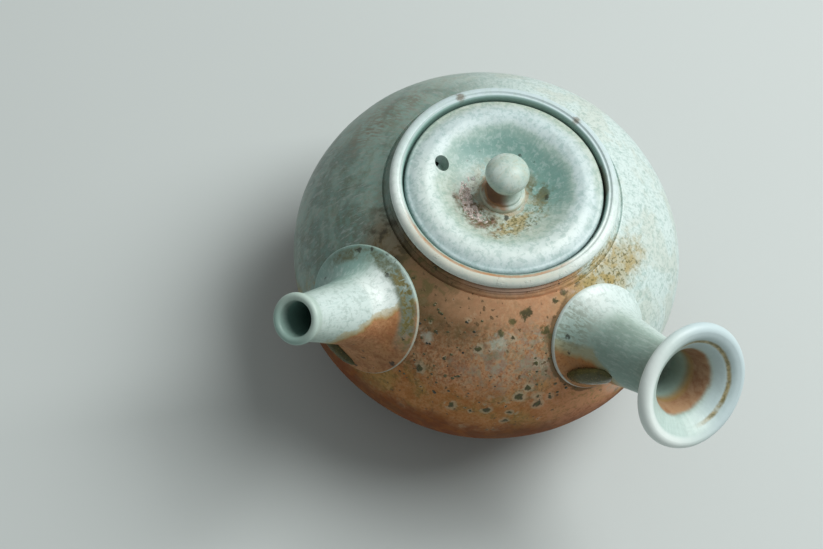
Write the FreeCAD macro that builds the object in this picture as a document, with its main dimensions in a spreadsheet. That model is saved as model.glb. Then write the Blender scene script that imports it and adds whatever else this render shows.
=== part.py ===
import FreeCAD, Part
import Sketcher
import math
import os

# Side-handled teapot, thrown in sections and luted together.
# The frame stands on the centre of the foot: +Z up, the spout points along -X,
# and the handle stands out near -Y.  Lengths are millimetres, angles degrees.

SIZES = [
    # body
    ("belly_radius", 46.0),
    ("belly_height", 30.0),
    ("crown_rise", 36.2),
    ("body_wall", 3.0),
    ("floor_thickness", 3.6),
    ("foot_radius", 21.2),
    ("foot_height", 1.2),
    ("foot_ledge", 0.6),
    ("foot_bevel", 0.4),
    # shoulder line, neck and rim
    ("shoulder_radius", 27.9),
    ("neck_inset", 0.9),
    ("shoulder_groove_round", 0.36),
    ("neck_line_round", 0.16),
    ("neck_height", 4.47),
    ("rim_round", 1.3),
    ("seat_depth", 3.85),
    ("seat_width", 2.4),
    ("seat_ledge_thickness", 2.4),
    # lid
    ("lid_radius", 22.7),
    ("lid_clearance", 0.3),
    ("lid_edge_rise", 1.9),
    ("lid_edge_round", 0.9),
    ("lid_crest_radius", 18.3),
    ("lid_crest_rise", 3.9),
    ("lid_dish_depth", 5.0),
    ("lid_thickness", 2.9),
    ("lid_flange_reach", 5.8),
    ("lid_flange_wall", 1.8),
    ("vent_radius", 1.85),
    ("vent_offset", 15.0),
    ("vent_turn_angle", 121.5),
    # knob
    ("knob_radius", 5.0),
    ("knob_half_height", 3.5),
    ("knob_rise", 8.7),
    ("knob_waist_radius", 3.2),
    ("knob_foot_radius", 5.2),
    ("knob_foot_height", 1.1),
    # spout
    ("spout_seat_rise", 17.2),
    ("spout_angle", 43.1),
    ("spout_length", 26.85),
    ("spout_flange_radius", 14.8),
    ("spout_neck_radius", 5.25),
    ("spout_lip_radius", 4.8),
    ("spout_lip_round", 0.9),
    ("spout_bore_radius", 3.75),
    ("spout_opening_radius", 9.0),
    # handle
    ("handle_turn_angle", 86.8),
    ("handle_seat_rise", 19.5),
    ("handle_angle", 38.3),
    ("handle_length", 33.05),
    ("handle_flange_radius", 12.4),
    ("handle_root_radius", 8.1),
    ("handle_neck_radius", 6.8),
    ("bell_radius", 12.3),
    ("bell_lip_round", 1.6),
    ("bell_line_radius", 9.9),
    ("bell_line_round", 0.3),
    ("bell_throat_radius", 7.6),
    ("handle_bore_radius", 4.6),
    ("handle_root_bore_radius", 6.0),
    # strainer
    ("strainer_radius", 12.0),
    ("strainer_wall", 1.8),
    ("strainer_hole_radius", 0.7),
    # how the pieces are joined, and how far a cutter runs past what it cuts
    ("flange_edge", 0.7),
    ("luting_gap", 0.05),
    ("overrun", 2.0),
]

# Spout outline from inside the wall out to the tip: how far along its length,
# how much of the way from neck width to flange width, and how much it leans
# from its own axis towards the wall's normal.
SPOUT_STATION_SHARES = [
    (-0.105, 0.975, 1.00),
    (-0.040, 0.75, 1.00),
    (0.045, 0.52, 0.90),
    (0.145, 0.33, 0.50),
    (0.300, 0.20, 0.15),
    (0.480, 0.11, 0.00),
    (0.660, 0.04, 0.00),
    (0.820, 0.00, 0.00),
]

# How far the foot's disc laps into the floor, and how much the neck draws in.
FOOT_LAP_SHARE = 0.25
NECK_BOW_SHARE = -0.05

# The rim's bead meets the neck at this point of its round section.
BEAD_JOIN_SHARES = (0.8, 0.6)

# Spout bore: how far along the spout, how much of the way from bore to opening,
# and the bow of the run that follows.
SPOUT_BORE_SHARES = [(-0.06, 1.0, -0.10), (0.24, 0.3, -0.03)]
SPOUT_BORE_END_SHARE = 0.6
SPOUT_FUNNEL_BOW_SHARE = -0.05

# Handle outside: its skirt across and down the flange, and then how far along the
# root and the neck come, each with the bow of the run that follows.
HANDLE_SKIRT_SHARES = (0.98, 0.13, -0.14)
HANDLE_ROOT_SHARES = (0.15, -0.03)
HANDLE_NECK_SHARES = (0.62, -0.16)

# Handle bore: how far along its root ends, the bore starts, the bore ends,
# the throat opens and the bell's inner line runs, and the bows between the last four.
HANDLE_BORE_SHARES = (0.08, 0.3, 0.64, 0.9, 0.965)
BELL_BOW_SHARES = (-0.06, -0.08, -0.12)

# Lid: the bow of its underside, how its flange's root is thickened, the bows over
# its border, and the edge of the dish inwards, down, and its bow.
LID_UNDER_BOW_SHARE = 0.08
LID_ROOT_SHARE = 1.1
LID_BORDER_BOW_SHARE = 0.07
DISH_EDGE_SHARES = (0.2, 0.17, -0.09)

# Knob: how high its waist is, the bows below and above it, and the stem inside the
# ball: its width over the waist, and how deep in the ball it starts to run straight.
KNOB_WAIST_SHARE = 0.42
KNOB_BOW_SHARES = (-0.16, -0.08)
KNOB_STEM_SHARES = (1.12, 0.7)

# Rings of holes in the strainer: the angle from its pole, in degrees.
STRAINER_RING_ANGLE = 14
STRAINER_RINGS = 4
HOLES_PER_RING = 6
FULL_TURN_ANGLE = 360

doc = FreeCAD.newDocument("teapot")
sheet = doc.addObject("Spreadsheet::Sheet", "Sizes")
for row, (alias, value) in enumerate(SIZES, start=1):
    sheet.set(f"A{row}", alias)
    sheet.set(f"B{row}", str(value))
    sheet.setAlias(f"B{row}", alias)
doc.recompute()


def sized(words):
    """Name the sheet in front of each of its sizes in an expression."""
    text = words
    for alias in sorted((alias for alias, value in SIZES), key=len, reverse=True):
        text = text.replace("@" + alias, "Sizes." + alias)
    return text


places = doc.addObject("App::VarSet", "Places")


def work_out(kind, name, words, meaning):
    """Keep a value that follows from the sheet's sizes."""
    places.addProperty("App::Property" + kind, name, "Worked out", meaning)
    places.setExpression(name, sized(words))
    doc.recompute()


work_out("Float", "base_drop",
         "(@belly_height - @foot_height)"
         " / sqrt(1 - pow((@foot_radius + @foot_ledge) / @belly_radius; 2))",
         "drop from the widest line to where the base's curve would close")
work_out("Float", "shoulder_height",
         "@belly_height + @crown_rise * sqrt(1 - pow(@shoulder_radius / @belly_radius; 2))",
         "height of the shoulder line")
work_out("Float", "rim_height", "Places.shoulder_height + @neck_height",
         "height of the rim")
work_out("Float", "seat_height", "Places.rim_height - @seat_depth",
         "height of the ledge that the lid rests on")
work_out("Float", "gallery_radius", "@lid_radius + @lid_clearance",
         "inner radius of the rim around the lid")
work_out("Float", "mouth_radius", "@lid_radius - @seat_width",
         "inner radius of the ledge")
work_out("Float", "ledge_underside", "Places.seat_height - @seat_ledge_thickness",
         "height of the ledge's underside")
work_out("Float", "neck_foot_radius", "@shoulder_radius - @neck_inset",
         "outer radius of the neck where it leaves the shoulder")
work_out("Float", "dish_rise", "@lid_crest_rise - @lid_dish_depth",
         "height of the lid's dished floor over its seat")
work_out("Float", "lid_flange_radius", "Places.mouth_radius - @lid_clearance",
         "outer radius of the flange under the lid")
for seat in ("spout", "handle"):
    work_out("Float", f"{seat}_seat_radius",
             f"@belly_radius * sqrt(1 - pow(@{seat}_seat_rise / @crown_rise; 2))",
             f"distance from the pot's axis to where the {seat}'s axis meets the wall")
    work_out("Angle", f"{seat}_wall_pitch",
             f"atan(@{seat}_seat_rise * pow(@belly_radius; 2)"
             f" / (Places.{seat}_seat_radius * pow(@crown_rise; 2)))",
             f"how far the wall's normal leans up at the {seat}")
work_out("Angle", "spout_lean", "Places.spout_wall_pitch - @spout_angle * 1 deg",
         "turn from the spout's axis to the wall's normal")
work_out("Placement", "spout_seat",
         "placement(vector(-Places.spout_seat_radius; 0; @belly_height + @spout_seat_rise);"
         " rotation(vector(0; 1; 0); @spout_angle - 90))",
         "the spout's own frame, on the wall, with +Z along the spout")
work_out("Placement", "handle_seat",
         "placement(vector(0; 0; 0); rotation(vector(0; 0; 1); @handle_turn_angle))"
         " * placement(vector(-Places.handle_seat_radius; 0; @belly_height + @handle_seat_rise);"
         " rotation(vector(0; 1; 0); @handle_angle - 90))",
         "the handle's own frame, on the wall, with +Z along the handle")


def bind(thing, **words):
    """Bind properties of a feature to expressions; a dot is written as two underscores."""
    for name, expression in words.items():
        thing.setExpression(name.replace("__", "."), sized(expression))


def shape_of(kind, name, **words):
    """Add a Part feature whose properties follow the sheet."""
    thing = doc.addObject("Part::" + kind, name)
    bind(thing, **words)
    return thing


def joined(name, pieces):
    whole = doc.addObject("Part::MultiFuse", name)
    whole.Shapes = pieces
    whole.Refine = True
    return whole


def cut(name, base, tool):
    result = doc.addObject("Part::Cut", name)
    result.Base = base
    result.Tool = tool
    return result


def common(name, first, second):
    result = doc.addObject("Part::MultiCommon", name)
    result.Shapes = [first, second]
    return result


def value_of(words):
    """The number that an expression gives now."""
    result = sheet.evalExpression(sized(words))
    return float(getattr(result, "Value", result))


def origin_part(body, role):
    """A plane or axis of a body's own origin."""
    return [item for item in body.Origin.OriginFeatures if item.Role == role][0]


def outline(body, name, corners):
    """Draw a closed outline whose corners are bound to the sheet.

    A corner is (across, up, edge), and edge says how the outline leaves it:
    "line"; ("bow", share), an arc that swells by that share of its chord to the
    right of the way, or to the left where the share is negative; or
    ("round", radius) or ("hollow", radius), an arc of that radius that swells
    to the right or to the left.
    """
    sketch = body.newObject("Sketcher::SketchObject", name)
    sketch.AttachmentSupport = [(origin_part(body, "XZ_Plane"), "")]
    sketch.MapMode = "FlatFace"
    following = corners[1:] + corners[:1]
    starts = []
    ends = []
    for (across, up, edge), (next_across, next_up, next_edge) in zip(corners, following):
        start = FreeCAD.Vector(value_of(across), value_of(up), 0)
        end = FreeCAD.Vector(value_of(next_across), value_of(next_up), 0)
        if edge == "line":
            index = sketch.addGeometry(Part.LineSegment(start, end))
            starts.append((index, 1))
            ends.append((index, 2))
            continue
        if edge[0] in ("round", "hollow"):
            radius_words = edge[1]
            rightwards = edge[0] == "round"
        else:
            chord = (f"sqrt(pow(({next_across}) - ({across}); 2)"
                     f" + pow(({next_up}) - ({up}); 2))")
            share = abs(edge[1])
            radius_words = f"{chord} * {(1 / 4 + share ** 2) / (2 * share)}"
            rightwards = edge[1] > 0
        radius = value_of(radius_words)
        half = (end - start) * (1 / 2)
        left = FreeCAD.Vector(-half.y, half.x, 0).normalize()
        apart = math.sqrt(max(radius ** 2 - half.Length ** 2, 0))
        centre = start + half + left * (apart if rightwards else -apart)
        first, last = (start, end) if rightwards else (end, start)
        turns = [math.atan2(point.y - centre.y, point.x - centre.x) for point in (first, last)]
        circle = Part.Circle(centre, FreeCAD.Vector(0, 0, 1), radius)
        index = sketch.addGeometry(Part.ArcOfCircle(circle, turns[0], turns[1]))
        place = sketch.addConstraint(Sketcher.Constraint("Radius", index, radius))
        sketch.setExpression(f"Constraints[{place}]", sized(radius_words))
        starts.append((index, 1 if rightwards else 2))
        ends.append((index, 2 if rightwards else 1))
    for number, (across, up, edge) in enumerate(corners):
        geometry, vertex = starts[number]
        before, last_vertex = ends[number - 1]
        sketch.addConstraint(Sketcher.Constraint("Coincident", before, last_vertex,
                                                 geometry, vertex))
        for kind, axis, words in (("DistanceX", -2, across), ("DistanceY", -1, up)):
            if words == "0":
                sketch.addConstraint(Sketcher.Constraint("PointOnObject", geometry, vertex, axis))
                continue
            place = sketch.addConstraint(
                Sketcher.Constraint(kind, -1, 1, geometry, vertex, value_of(words)))
            sketch.setExpression(f"Constraints[{place}]", sized(words))
    return sketch


def turned(name, corners, placement=""):
    """A piece turned on the wheel: an outline of (radius, height) about its own +Z."""
    body = doc.addObject("PartDesign::Body", name)
    sketch = outline(body, name + "_outline", corners)
    revolution = body.newObject("PartDesign::Revolution", name + "_turned")
    revolution.Profile = sketch
    revolution.ReferenceAxis = (sketch, ["V_Axis"])
    revolution.Angle = FULL_TURN_ANGLE
    if placement:
        body.setExpression("Placement", sized(placement))
    return body


def belly(name, offset):
    """The body's closed outer curve, with every half axis longer by an offset."""
    halves = [("crown", "@crown_rise", "0", "90"), ("base", "Places.base_drop", "-90", "0")]
    pieces = []
    for half, rise, low, high in halves:
        piece = shape_of("Ellipsoid", f"{name}_{half}", Radius1=f"{rise} + ({offset})",
                         Radius2=f"@belly_radius + ({offset})",
                         Radius3=f"@belly_radius + ({offset})",
                         Angle1=low, Angle2=high, Placement__Base__z="@belly_height")
        pieces.append(piece)
    return joined(name, pieces)


def upright(words):
    """A placement that lifts a piece along the pot's axis."""
    return f"placement(vector(0; 0; {words}); rotation(vector(0; 0; 1); 0))"


# Body: an ellipsoid shell on a low foot, with a neck, a bead rim and a ledge for the lid.

crown = shape_of("Ellipsoid", "crown", Radius1="@crown_rise", Radius2="@belly_radius",
                 Radius3="@belly_radius", Angle1="0",
                 Angle2="acos(@shoulder_radius / @belly_radius)",
                 Placement__Base__z="@belly_height")
base = shape_of("Ellipsoid", "base", Radius1="Places.base_drop", Radius2="@belly_radius",
                Radius3="@belly_radius", Angle2="0",
                Angle1="-asin((@belly_height - @foot_height) / Places.base_drop)",
                Placement__Base__z="@belly_height")
FOOT_TOP = f"@foot_height + @floor_thickness * {FOOT_LAP_SHARE}"
foot = turned("foot", [
    ("0", "0", "line"),
    ("@foot_radius - @foot_bevel", "0", "line"),
    ("@foot_radius", "@foot_bevel", "line"),
    ("@foot_radius", FOOT_TOP, "line"),
    ("0", FOOT_TOP, "line"),
])
bead_across, bead_down = BEAD_JOIN_SHARES
bead_middle = "Places.rim_height - @rim_round"
neck = turned("neck", [
    ("Places.mouth_radius", "Places.ledge_underside", "line"),
    ("Places.neck_foot_radius", "Places.ledge_underside", "line"),
    ("Places.neck_foot_radius", "Places.shoulder_height", ("bow", NECK_BOW_SHARE)),
    (f"Places.gallery_radius + @rim_round * {1 + bead_across}",
     f"Places.rim_height - @rim_round * {1 + bead_down}", ("round", "@rim_round")),
    ("Places.gallery_radius + @rim_round", "Places.rim_height", ("round", "@rim_round")),
    ("Places.gallery_radius", bead_middle, "line"),
    ("Places.gallery_radius", "Places.seat_height", "line"),
    ("Places.mouth_radius", "Places.seat_height", "line"),
])
thrown = joined("thrown", [crown, base, foot, neck])
hollow_crown = shape_of(
    "Ellipsoid", "hollow_crown", Radius1="@crown_rise - @body_wall",
    Radius2="@belly_radius - @body_wall", Radius3="@belly_radius - @body_wall", Angle1="0",
    Angle2="asin((Places.ledge_underside - @belly_height) / (@crown_rise - @body_wall))",
    Placement__Base__z="@belly_height")
hollow_base = shape_of(
    "Ellipsoid", "hollow_base", Radius1="Places.base_drop - @body_wall",
    Radius2="@belly_radius - @body_wall", Radius3="@belly_radius - @body_wall", Angle2="0",
    Angle1="-asin((@belly_height - @floor_thickness) / (Places.base_drop - @body_wall))",
    Placement__Base__z="@belly_height")
mouth = shape_of("Cylinder", "mouth", Radius="Places.mouth_radius",
                 Height="@seat_ledge_thickness + @seat_depth + @overrun",
                 Placement__Base__z="Places.ledge_underside - @overrun / 2")
spout_opening = shape_of(
    "Cylinder", "spout_opening", Radius="@spout_opening_radius",
    Height="@body_wall * 2 + @spout_flange_radius",
    Placement="Places.spout_seat * placement(vector(0; 0; -@body_wall * 2"
              " - @spout_flange_radius / 2); rotation(vector(0; 0; 1); 0))")
shoulder_groove = shape_of(
    "Torus", "shoulder_groove", Radius1="@shoulder_radius - @neck_inset / 2",
    Radius2="@shoulder_groove_round", Placement__Base__z="Places.shoulder_height")
neck_line = shape_of(
    "Torus", "neck_line", Radius1="(Places.neck_foot_radius + Places.gallery_radius"
                                  f" + @rim_round * {1 + bead_across}) / 2",
    Radius2="@neck_line_round", Placement__Base__z=
    f"(Places.shoulder_height + Places.rim_height - @rim_round * {1 + bead_down}) / 2")
pot_body = cut("pot_body", thrown, joined("body_cuts", [
    hollow_crown, hollow_base, mouth, spout_opening, shoulder_groove, neck_line]))

# The wall that luted pieces meet, and the thin skin of their flanges over it.

wall_outside = belly("wall_outside", "@luting_gap")
flange_skin = cut("flange_skin", belly("flange_outside", "@luting_gap + @flange_edge"),
                  wall_outside)
wall_inside = belly("wall_inside", "-@body_wall - @luting_gap")


def flange(name, radius_words, seat):
    """A thin disc that follows the wall around a luted piece's root."""
    disc = shape_of("Cylinder", name + "_disc", Radius=radius_words,
                    Height=f"{radius_words} * 2",
                    Placement=f"{seat} * placement(vector(0; 0; -{radius_words});"
                              " rotation(vector(0; 0; 1); 0))")
    return common(name, disc, flange_skin)


# Spout: a flared tube through tilted rounds, a rounded lip, and a funnel at its mouth.

stations = []
for number, (along, width, lean) in enumerate(SPOUT_STATION_SHARES):
    radius = (f"@spout_neck_radius + {width}"
              " * (@spout_flange_radius - @spout_neck_radius)")
    station = shape_of(
        "Circle", f"spout_round_{number}", Radius=radius,
        Placement=f"Places.spout_seat * placement(vector(0; 0; 0); rotation(vector(0; 1; 0);"
                  f" Places.spout_lean * {lean}))"
                  f" * placement(vector(0; 0; @spout_length * {along});"
                  " rotation(vector(0; 0; 1); 0))")
    stations.append(station)
stations.append(shape_of(
    "Circle", "spout_round_tip", Radius="@spout_lip_radius + @spout_lip_round",
    Placement="Places.spout_seat * placement(vector(0; 0; @spout_length - @spout_lip_round);"
              " rotation(vector(0; 0; 1); 0))"))
spout_tube = doc.addObject("Part::Loft", "spout_tube")
spout_tube.Sections = stations
spout_tube.Solid = True
spout_lip = shape_of(
    "Torus", "spout_lip", Radius1="@spout_lip_radius", Radius2="@spout_lip_round",
    Placement="Places.spout_seat * placement(vector(0; 0; @spout_length - @spout_lip_round);"
              " rotation(vector(0; 0; 1); 0))")
spout_bore = turned("spout_bore", [
    ("0", "-@spout_flange_radius", "line"),
    ("@spout_opening_radius", "-@spout_flange_radius", "line"),
    *[(f"@spout_bore_radius + (@spout_opening_radius - @spout_bore_radius) * {width}",
       f"@spout_length * ({along})", ("bow", bow)) for along, width, bow in SPOUT_BORE_SHARES],
    ("@spout_bore_radius", f"@spout_length * {SPOUT_BORE_END_SHARE}", "line"),
    ("@spout_bore_radius", "@spout_length - @spout_lip_round * 3",
     ("bow", SPOUT_FUNNEL_BOW_SHARE)),
    ("@spout_lip_radius - @spout_lip_round", "@spout_length - @spout_lip_round", "line"),
    ("@spout_lip_radius - @spout_lip_round", "@spout_length + @overrun", "line"),
    ("0", "@spout_length + @overrun", "line"),
], "Places.spout_seat")
spout = cut("spout",
            joined("spout_whole", [cut("spout_on_wall", spout_tube, wall_outside), spout_lip,
                                   flange("spout_flange", "@spout_flange_radius",
                                          "Places.spout_seat")]),
            spout_bore)

# Handle: a hollow turned tube whose open end flares like a bell.

skirt_across, skirt_down, skirt_bow = HANDLE_SKIRT_SHARES
root_along, root_bow = HANDLE_ROOT_SHARES
neck_along, neck_bow = HANDLE_NECK_SHARES
handle_tube = turned("handle_tube", [
    ("0", "-@handle_flange_radius / 2", "line"),
    (f"@handle_flange_radius * {skirt_across}", "-@handle_flange_radius / 2", "line"),
    (f"@handle_flange_radius * {skirt_across}", f"-@handle_flange_radius * {skirt_down}",
     ("bow", skirt_bow)),
    ("@handle_root_radius", f"@handle_length * {root_along}", ("bow", root_bow)),
    ("@handle_neck_radius", f"@handle_length * {neck_along}", ("bow", neck_bow)),
    ("@bell_radius + @bell_lip_round", "@handle_length - @bell_lip_round",
     ("round", "@bell_lip_round")),
    ("@bell_radius", "@handle_length", "line"),
    ("0", "@handle_length", "line"),
], "Places.handle_seat")
root_end, bore_start, bore_end, throat_along, line_along = [
    f"@handle_length * {share}" for share in HANDLE_BORE_SHARES]
throat_bow, line_bow, mouth_bow = BELL_BOW_SHARES
handle_bore = turned("handle_bore", [
    ("0", "-@handle_flange_radius", "line"),
    ("@handle_root_bore_radius", "-@handle_flange_radius", "line"),
    ("@handle_root_bore_radius", root_end, "line"),
    ("@handle_bore_radius", bore_start, "line"),
    ("@handle_bore_radius", bore_end, ("bow", throat_bow)),
    ("@bell_throat_radius", throat_along, ("bow", line_bow)),
    ("@bell_line_radius", line_along, ("bow", mouth_bow)),
    ("@bell_radius", "@handle_length", "line"),
    ("@bell_radius", "@handle_length + @overrun", "line"),
    ("0", "@handle_length + @overrun", "line"),
], "Places.handle_seat")
bell_line = shape_of(
    "Torus", "bell_line", Radius1="@bell_line_radius", Radius2="@bell_line_round",
    Placement=f"Places.handle_seat * placement(vector(0; 0; {line_along});"
              " rotation(vector(0; 0; 1); 0))")
handle = cut("handle",
             joined("handle_whole", [cut("handle_on_wall", handle_tube, wall_outside),
                                     flange("handle_flange", "@handle_flange_radius",
                                            "Places.handle_seat")]),
             joined("handle_cuts", [handle_bore, bell_line]))

# Strainer: a pierced dome luted inside the wall over the spout's opening.

DOME_PLACE = ("Places.spout_seat * placement(vector(0; 0; -@body_wall);"
              " rotation(vector(1; 0; 0); 180))")
strainer_dome = turned("strainer_dome", [
    ("@strainer_radius - @strainer_wall", "0", "line"),
    ("@strainer_radius - @strainer_wall", "-@body_wall", "line"),
    ("@strainer_radius", "-@body_wall", "line"),
    ("@strainer_radius", "0", ("round", "@strainer_radius")),
    ("0", "@strainer_radius", "line"),
    ("0", "@strainer_radius - @strainer_wall", ("hollow", "@strainer_radius - @strainer_wall")),
], DOME_PLACE)


def strainer_hole(name, lean, spin):
    """A round hole square to the dome, leant from its pole and spun about its axis."""
    return shape_of(
        "Cylinder", name, Radius="@strainer_hole_radius", Height="@strainer_wall * 2",
        Placement=f"{DOME_PLACE} * placement(vector(0; 0; 0);"
                  f" rotation(vector(0; 0; 1); {spin}) * rotation(vector(0; 1; 0); {lean}))"
                  " * placement(vector(0; 0; @strainer_radius - @strainer_wall * 3 / 2);"
                  " rotation(vector(0; 0; 1); 0))")


holes = [strainer_hole("strainer_hole_0_0", 0, 0)]
for ring in range(1, STRAINER_RINGS + 1):
    copies = HOLES_PER_RING * ring
    for copy in range(copies):
        holes.append(strainer_hole(f"strainer_hole_{ring}_{copy}", STRAINER_RING_ANGLE * ring,
                                   FULL_TURN_ANGLE * copy / copies))
strainer_holes = doc.addObject("Part::Compound", "strainer_holes")
strainer_holes.Links = holes
strainer = cut("strainer", common("strainer_whole", strainer_dome, wall_inside), strainer_holes)

# Lid: a dished disc with a rolled border, a flange that drops into the mouth, and a vent.

dish_inwards, dish_down, dish_bow = DISH_EDGE_SHARES
lid = turned("lid", [
    ("0", "Places.dish_rise - @lid_thickness", "line"),
    ("@knob_foot_radius + @knob_foot_height", "Places.dish_rise - @lid_thickness",
     ("bow", LID_UNDER_BOW_SHARE)),
    ("Places.lid_flange_radius - @lid_flange_wall",
     f"@lid_crest_rise - @lid_thickness * {LID_ROOT_SHARE}", "line"),
    ("Places.lid_flange_radius - @lid_flange_wall", "-@lid_flange_reach", "line"),
    ("Places.lid_flange_radius", "-@lid_flange_reach", "line"),
    ("Places.lid_flange_radius", "0", "line"),
    ("@lid_radius - @lid_edge_round / 2", "0", "line"),
    ("@lid_radius", "@lid_edge_round / 2", "line"),
    ("@lid_radius", "@lid_edge_rise", ("round", "@lid_edge_round")),
    ("@lid_radius - @lid_edge_round", "@lid_edge_rise + @lid_edge_round",
     ("bow", LID_BORDER_BOW_SHARE)),
    ("@lid_crest_radius", "@lid_crest_rise", ("bow", LID_BORDER_BOW_SHARE)),
    (f"@lid_crest_radius - (@lid_crest_radius - @knob_foot_radius) * {dish_inwards}",
     f"@lid_crest_rise - @lid_dish_depth * {dish_down}", ("bow", dish_bow)),
    ("@knob_foot_radius + @knob_foot_height", "Places.dish_rise", "line"),
    ("0", "Places.dish_rise", "line"),
], upright("Places.seat_height"))
vent_outline = lid.newObject("Sketcher::SketchObject", "vent_outline")
vent_outline.AttachmentSupport = [(origin_part(lid, "XY_Plane"), "")]
vent_outline.MapMode = "FlatFace"
vent_place = ["@vent_offset * cos(@vent_turn_angle)", "@vent_offset * sin(@vent_turn_angle)"]
vent_middle = FreeCAD.Vector(value_of(vent_place[0]), value_of(vent_place[1]), 0)
vent_circle = vent_outline.addGeometry(
    Part.Circle(vent_middle, FreeCAD.Vector(0, 0, 1), value_of("@vent_radius")))
vent_sizes = [
    (Sketcher.Constraint("Radius", vent_circle, value_of("@vent_radius")), "@vent_radius"),
    (Sketcher.Constraint("DistanceX", -1, 1, vent_circle, 3, vent_middle.x), vent_place[0]),
    (Sketcher.Constraint("DistanceY", -1, 1, vent_circle, 3, vent_middle.y), vent_place[1]),
]
for constraint, expression in vent_sizes:
    placed = vent_outline.addConstraint(constraint)
    vent_outline.setExpression(f"Constraints[{placed}]", sized(expression))
vent = lid.newObject("PartDesign::Pocket", "vent")
vent.Profile = vent_outline
vent.Type = "ThroughAll"
vent.Midplane = True
doc.recompute()

# Knob: a flattened ball on a waisted stem with a stepped foot.

foot_bow, waist_bow = KNOB_BOW_SHARES
stem_across, stem_down = KNOB_STEM_SHARES
knob_stem = turned("knob_stem", [
    ("0", "0", "line"),
    ("@knob_foot_radius", "0", "line"),
    ("@knob_foot_radius", "@knob_foot_height", ("bow", foot_bow)),
    ("@knob_waist_radius", f"@knob_rise * {KNOB_WAIST_SHARE}", ("bow", waist_bow)),
    (f"@knob_waist_radius * {stem_across}", f"@knob_rise - @knob_half_height * {stem_down}",
     "line"),
    (f"@knob_waist_radius * {stem_across}", "@knob_rise", "line"),
    ("0", "@knob_rise", "line"),
], upright("Places.seat_height + Places.dish_rise"))
knob_ball = shape_of("Ellipsoid", "knob_ball", Radius1="@knob_half_height",
                     Radius2="@knob_radius", Radius3="@knob_radius",
                     Placement__Base__z="Places.seat_height + Places.dish_rise + @knob_rise")
lid_knob = joined("lid_knob", [knob_stem, knob_ball])

doc.recompute()
for item in doc.Objects:
    if "Invalid" in item.State or "Error" in item.State:
        raise RuntimeError(f"{item.Name} did not recompute")

os.makedirs("parts", exist_ok=True)
for piece in (pot_body, spout, handle, strainer, lid, lid_knob):
    shape = piece.Shape
    if shape.isNull() or not shape.isValid() or len(shape.Solids) != 1:
        raise RuntimeError(f"{piece.Label} is not one sound solid")
    shape.exportStep(f"parts/{piece.Label}.step")
    print(piece.Label, "volume", round(shape.Volume), "area", round(shape.Area))
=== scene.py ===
import math

import bmesh
import bpy
import numpy as np
from mathutils import Matrix, Vector, noise


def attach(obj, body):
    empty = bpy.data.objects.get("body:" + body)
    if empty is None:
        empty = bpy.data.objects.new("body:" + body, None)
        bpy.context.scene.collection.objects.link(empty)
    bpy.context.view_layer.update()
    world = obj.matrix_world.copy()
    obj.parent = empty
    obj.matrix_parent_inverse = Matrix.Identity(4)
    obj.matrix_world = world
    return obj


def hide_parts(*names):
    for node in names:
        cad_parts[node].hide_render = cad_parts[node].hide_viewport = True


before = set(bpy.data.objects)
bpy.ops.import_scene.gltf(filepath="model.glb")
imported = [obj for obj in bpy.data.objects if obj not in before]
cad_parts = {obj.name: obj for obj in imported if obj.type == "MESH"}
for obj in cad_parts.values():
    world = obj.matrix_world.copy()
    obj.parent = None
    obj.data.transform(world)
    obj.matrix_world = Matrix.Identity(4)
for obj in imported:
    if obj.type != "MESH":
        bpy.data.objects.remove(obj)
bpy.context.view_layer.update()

# A side-handled teapot with natural ash glaze.  Lengths are metres, angles radians.
# The origin is the centre of the foot, +Z is up, the spout points along -X and the
# handle stands out near -Y.  Glaze patterns are placed in the same frame.

bl_info = {
    "name": "Side-Handled Teapot",
    "version": (1, 0, 0),
    "blender": (4, 5, 0),
    "location": "3D View > Sidebar > Teapot",
    "description": "Throws, glazes and lights a wood-fired teapot with a side handle",
    "category": "Object",
}


def length(name, description, default):
    """A property that holds a length in metres."""
    return bpy.props.FloatProperty(name=name, description=description, default=default,
                                   min=0.0, precision=5, unit="LENGTH")


def turn(name, description, default):
    """A property that holds an angle, given here in degrees."""
    return bpy.props.FloatProperty(name=name, description=description,
                                   default=math.radians(default), subtype="ANGLE")


def colour(name, description, red, green, blue):
    """A property that holds a linear colour."""
    return bpy.props.FloatVectorProperty(name=name, description=description, size=3,
                                         default=(red, green, blue), min=0.0, max=1.0,
                                         subtype="COLOR")


class TeapotBodySizes(bpy.types.PropertyGroup):
    """Sizes of the thrown body."""

    belly_radius: length("Belly radius", "Widest radius of the body", 0.046)
    belly_height: length("Belly height", "Height of the widest line", 0.030)
    crown_rise: length("Crown rise", "Rise of the closed upper curve over the widest line", 0.0362)
    wall: length("Wall", "Thickness of the body's wall", 0.003)
    floor: length("Floor", "Thickness of the floor", 0.0036)
    foot_radius: length("Foot radius", "Radius of the foot", 0.0212)
    foot_height: length("Foot height", "Height of the foot", 0.0012)
    foot_ledge: length("Foot ledge", "How far the base starts outside the foot", 0.0006)
    foot_bevel: length("Foot bevel", "Bevel around the foot", 0.0004)
    shoulder_radius: length("Shoulder radius", "Radius of the line at the neck's foot", 0.0279)
    neck_inset: length("Neck inset", "How far the neck stands inside the shoulder line", 0.0009)
    neck_height: length("Neck height", "Rise of the rim over the shoulder line", 0.00447)
    groove_depth: length("Groove depth", "Depth of the line at the neck's foot", 0.00036)
    line_depth: length("Line depth", "Depth of the fine line around the neck", 0.0002)
    rim_round: length("Rim round", "Radius of the rim's bead", 0.00145)
    rim_groove: length("Rim groove", "Depth of the fine groove inside the rim's crest", 0.00032)
    seat_depth: length("Seat depth", "Depth of the lid's seat below the rim", 0.00385)
    seat_width: length("Seat width", "Width of the ledge that the lid rests on", 0.0024)
    ledge_thickness: length("Ledge thickness", "Thickness of that ledge", 0.0024)


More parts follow.
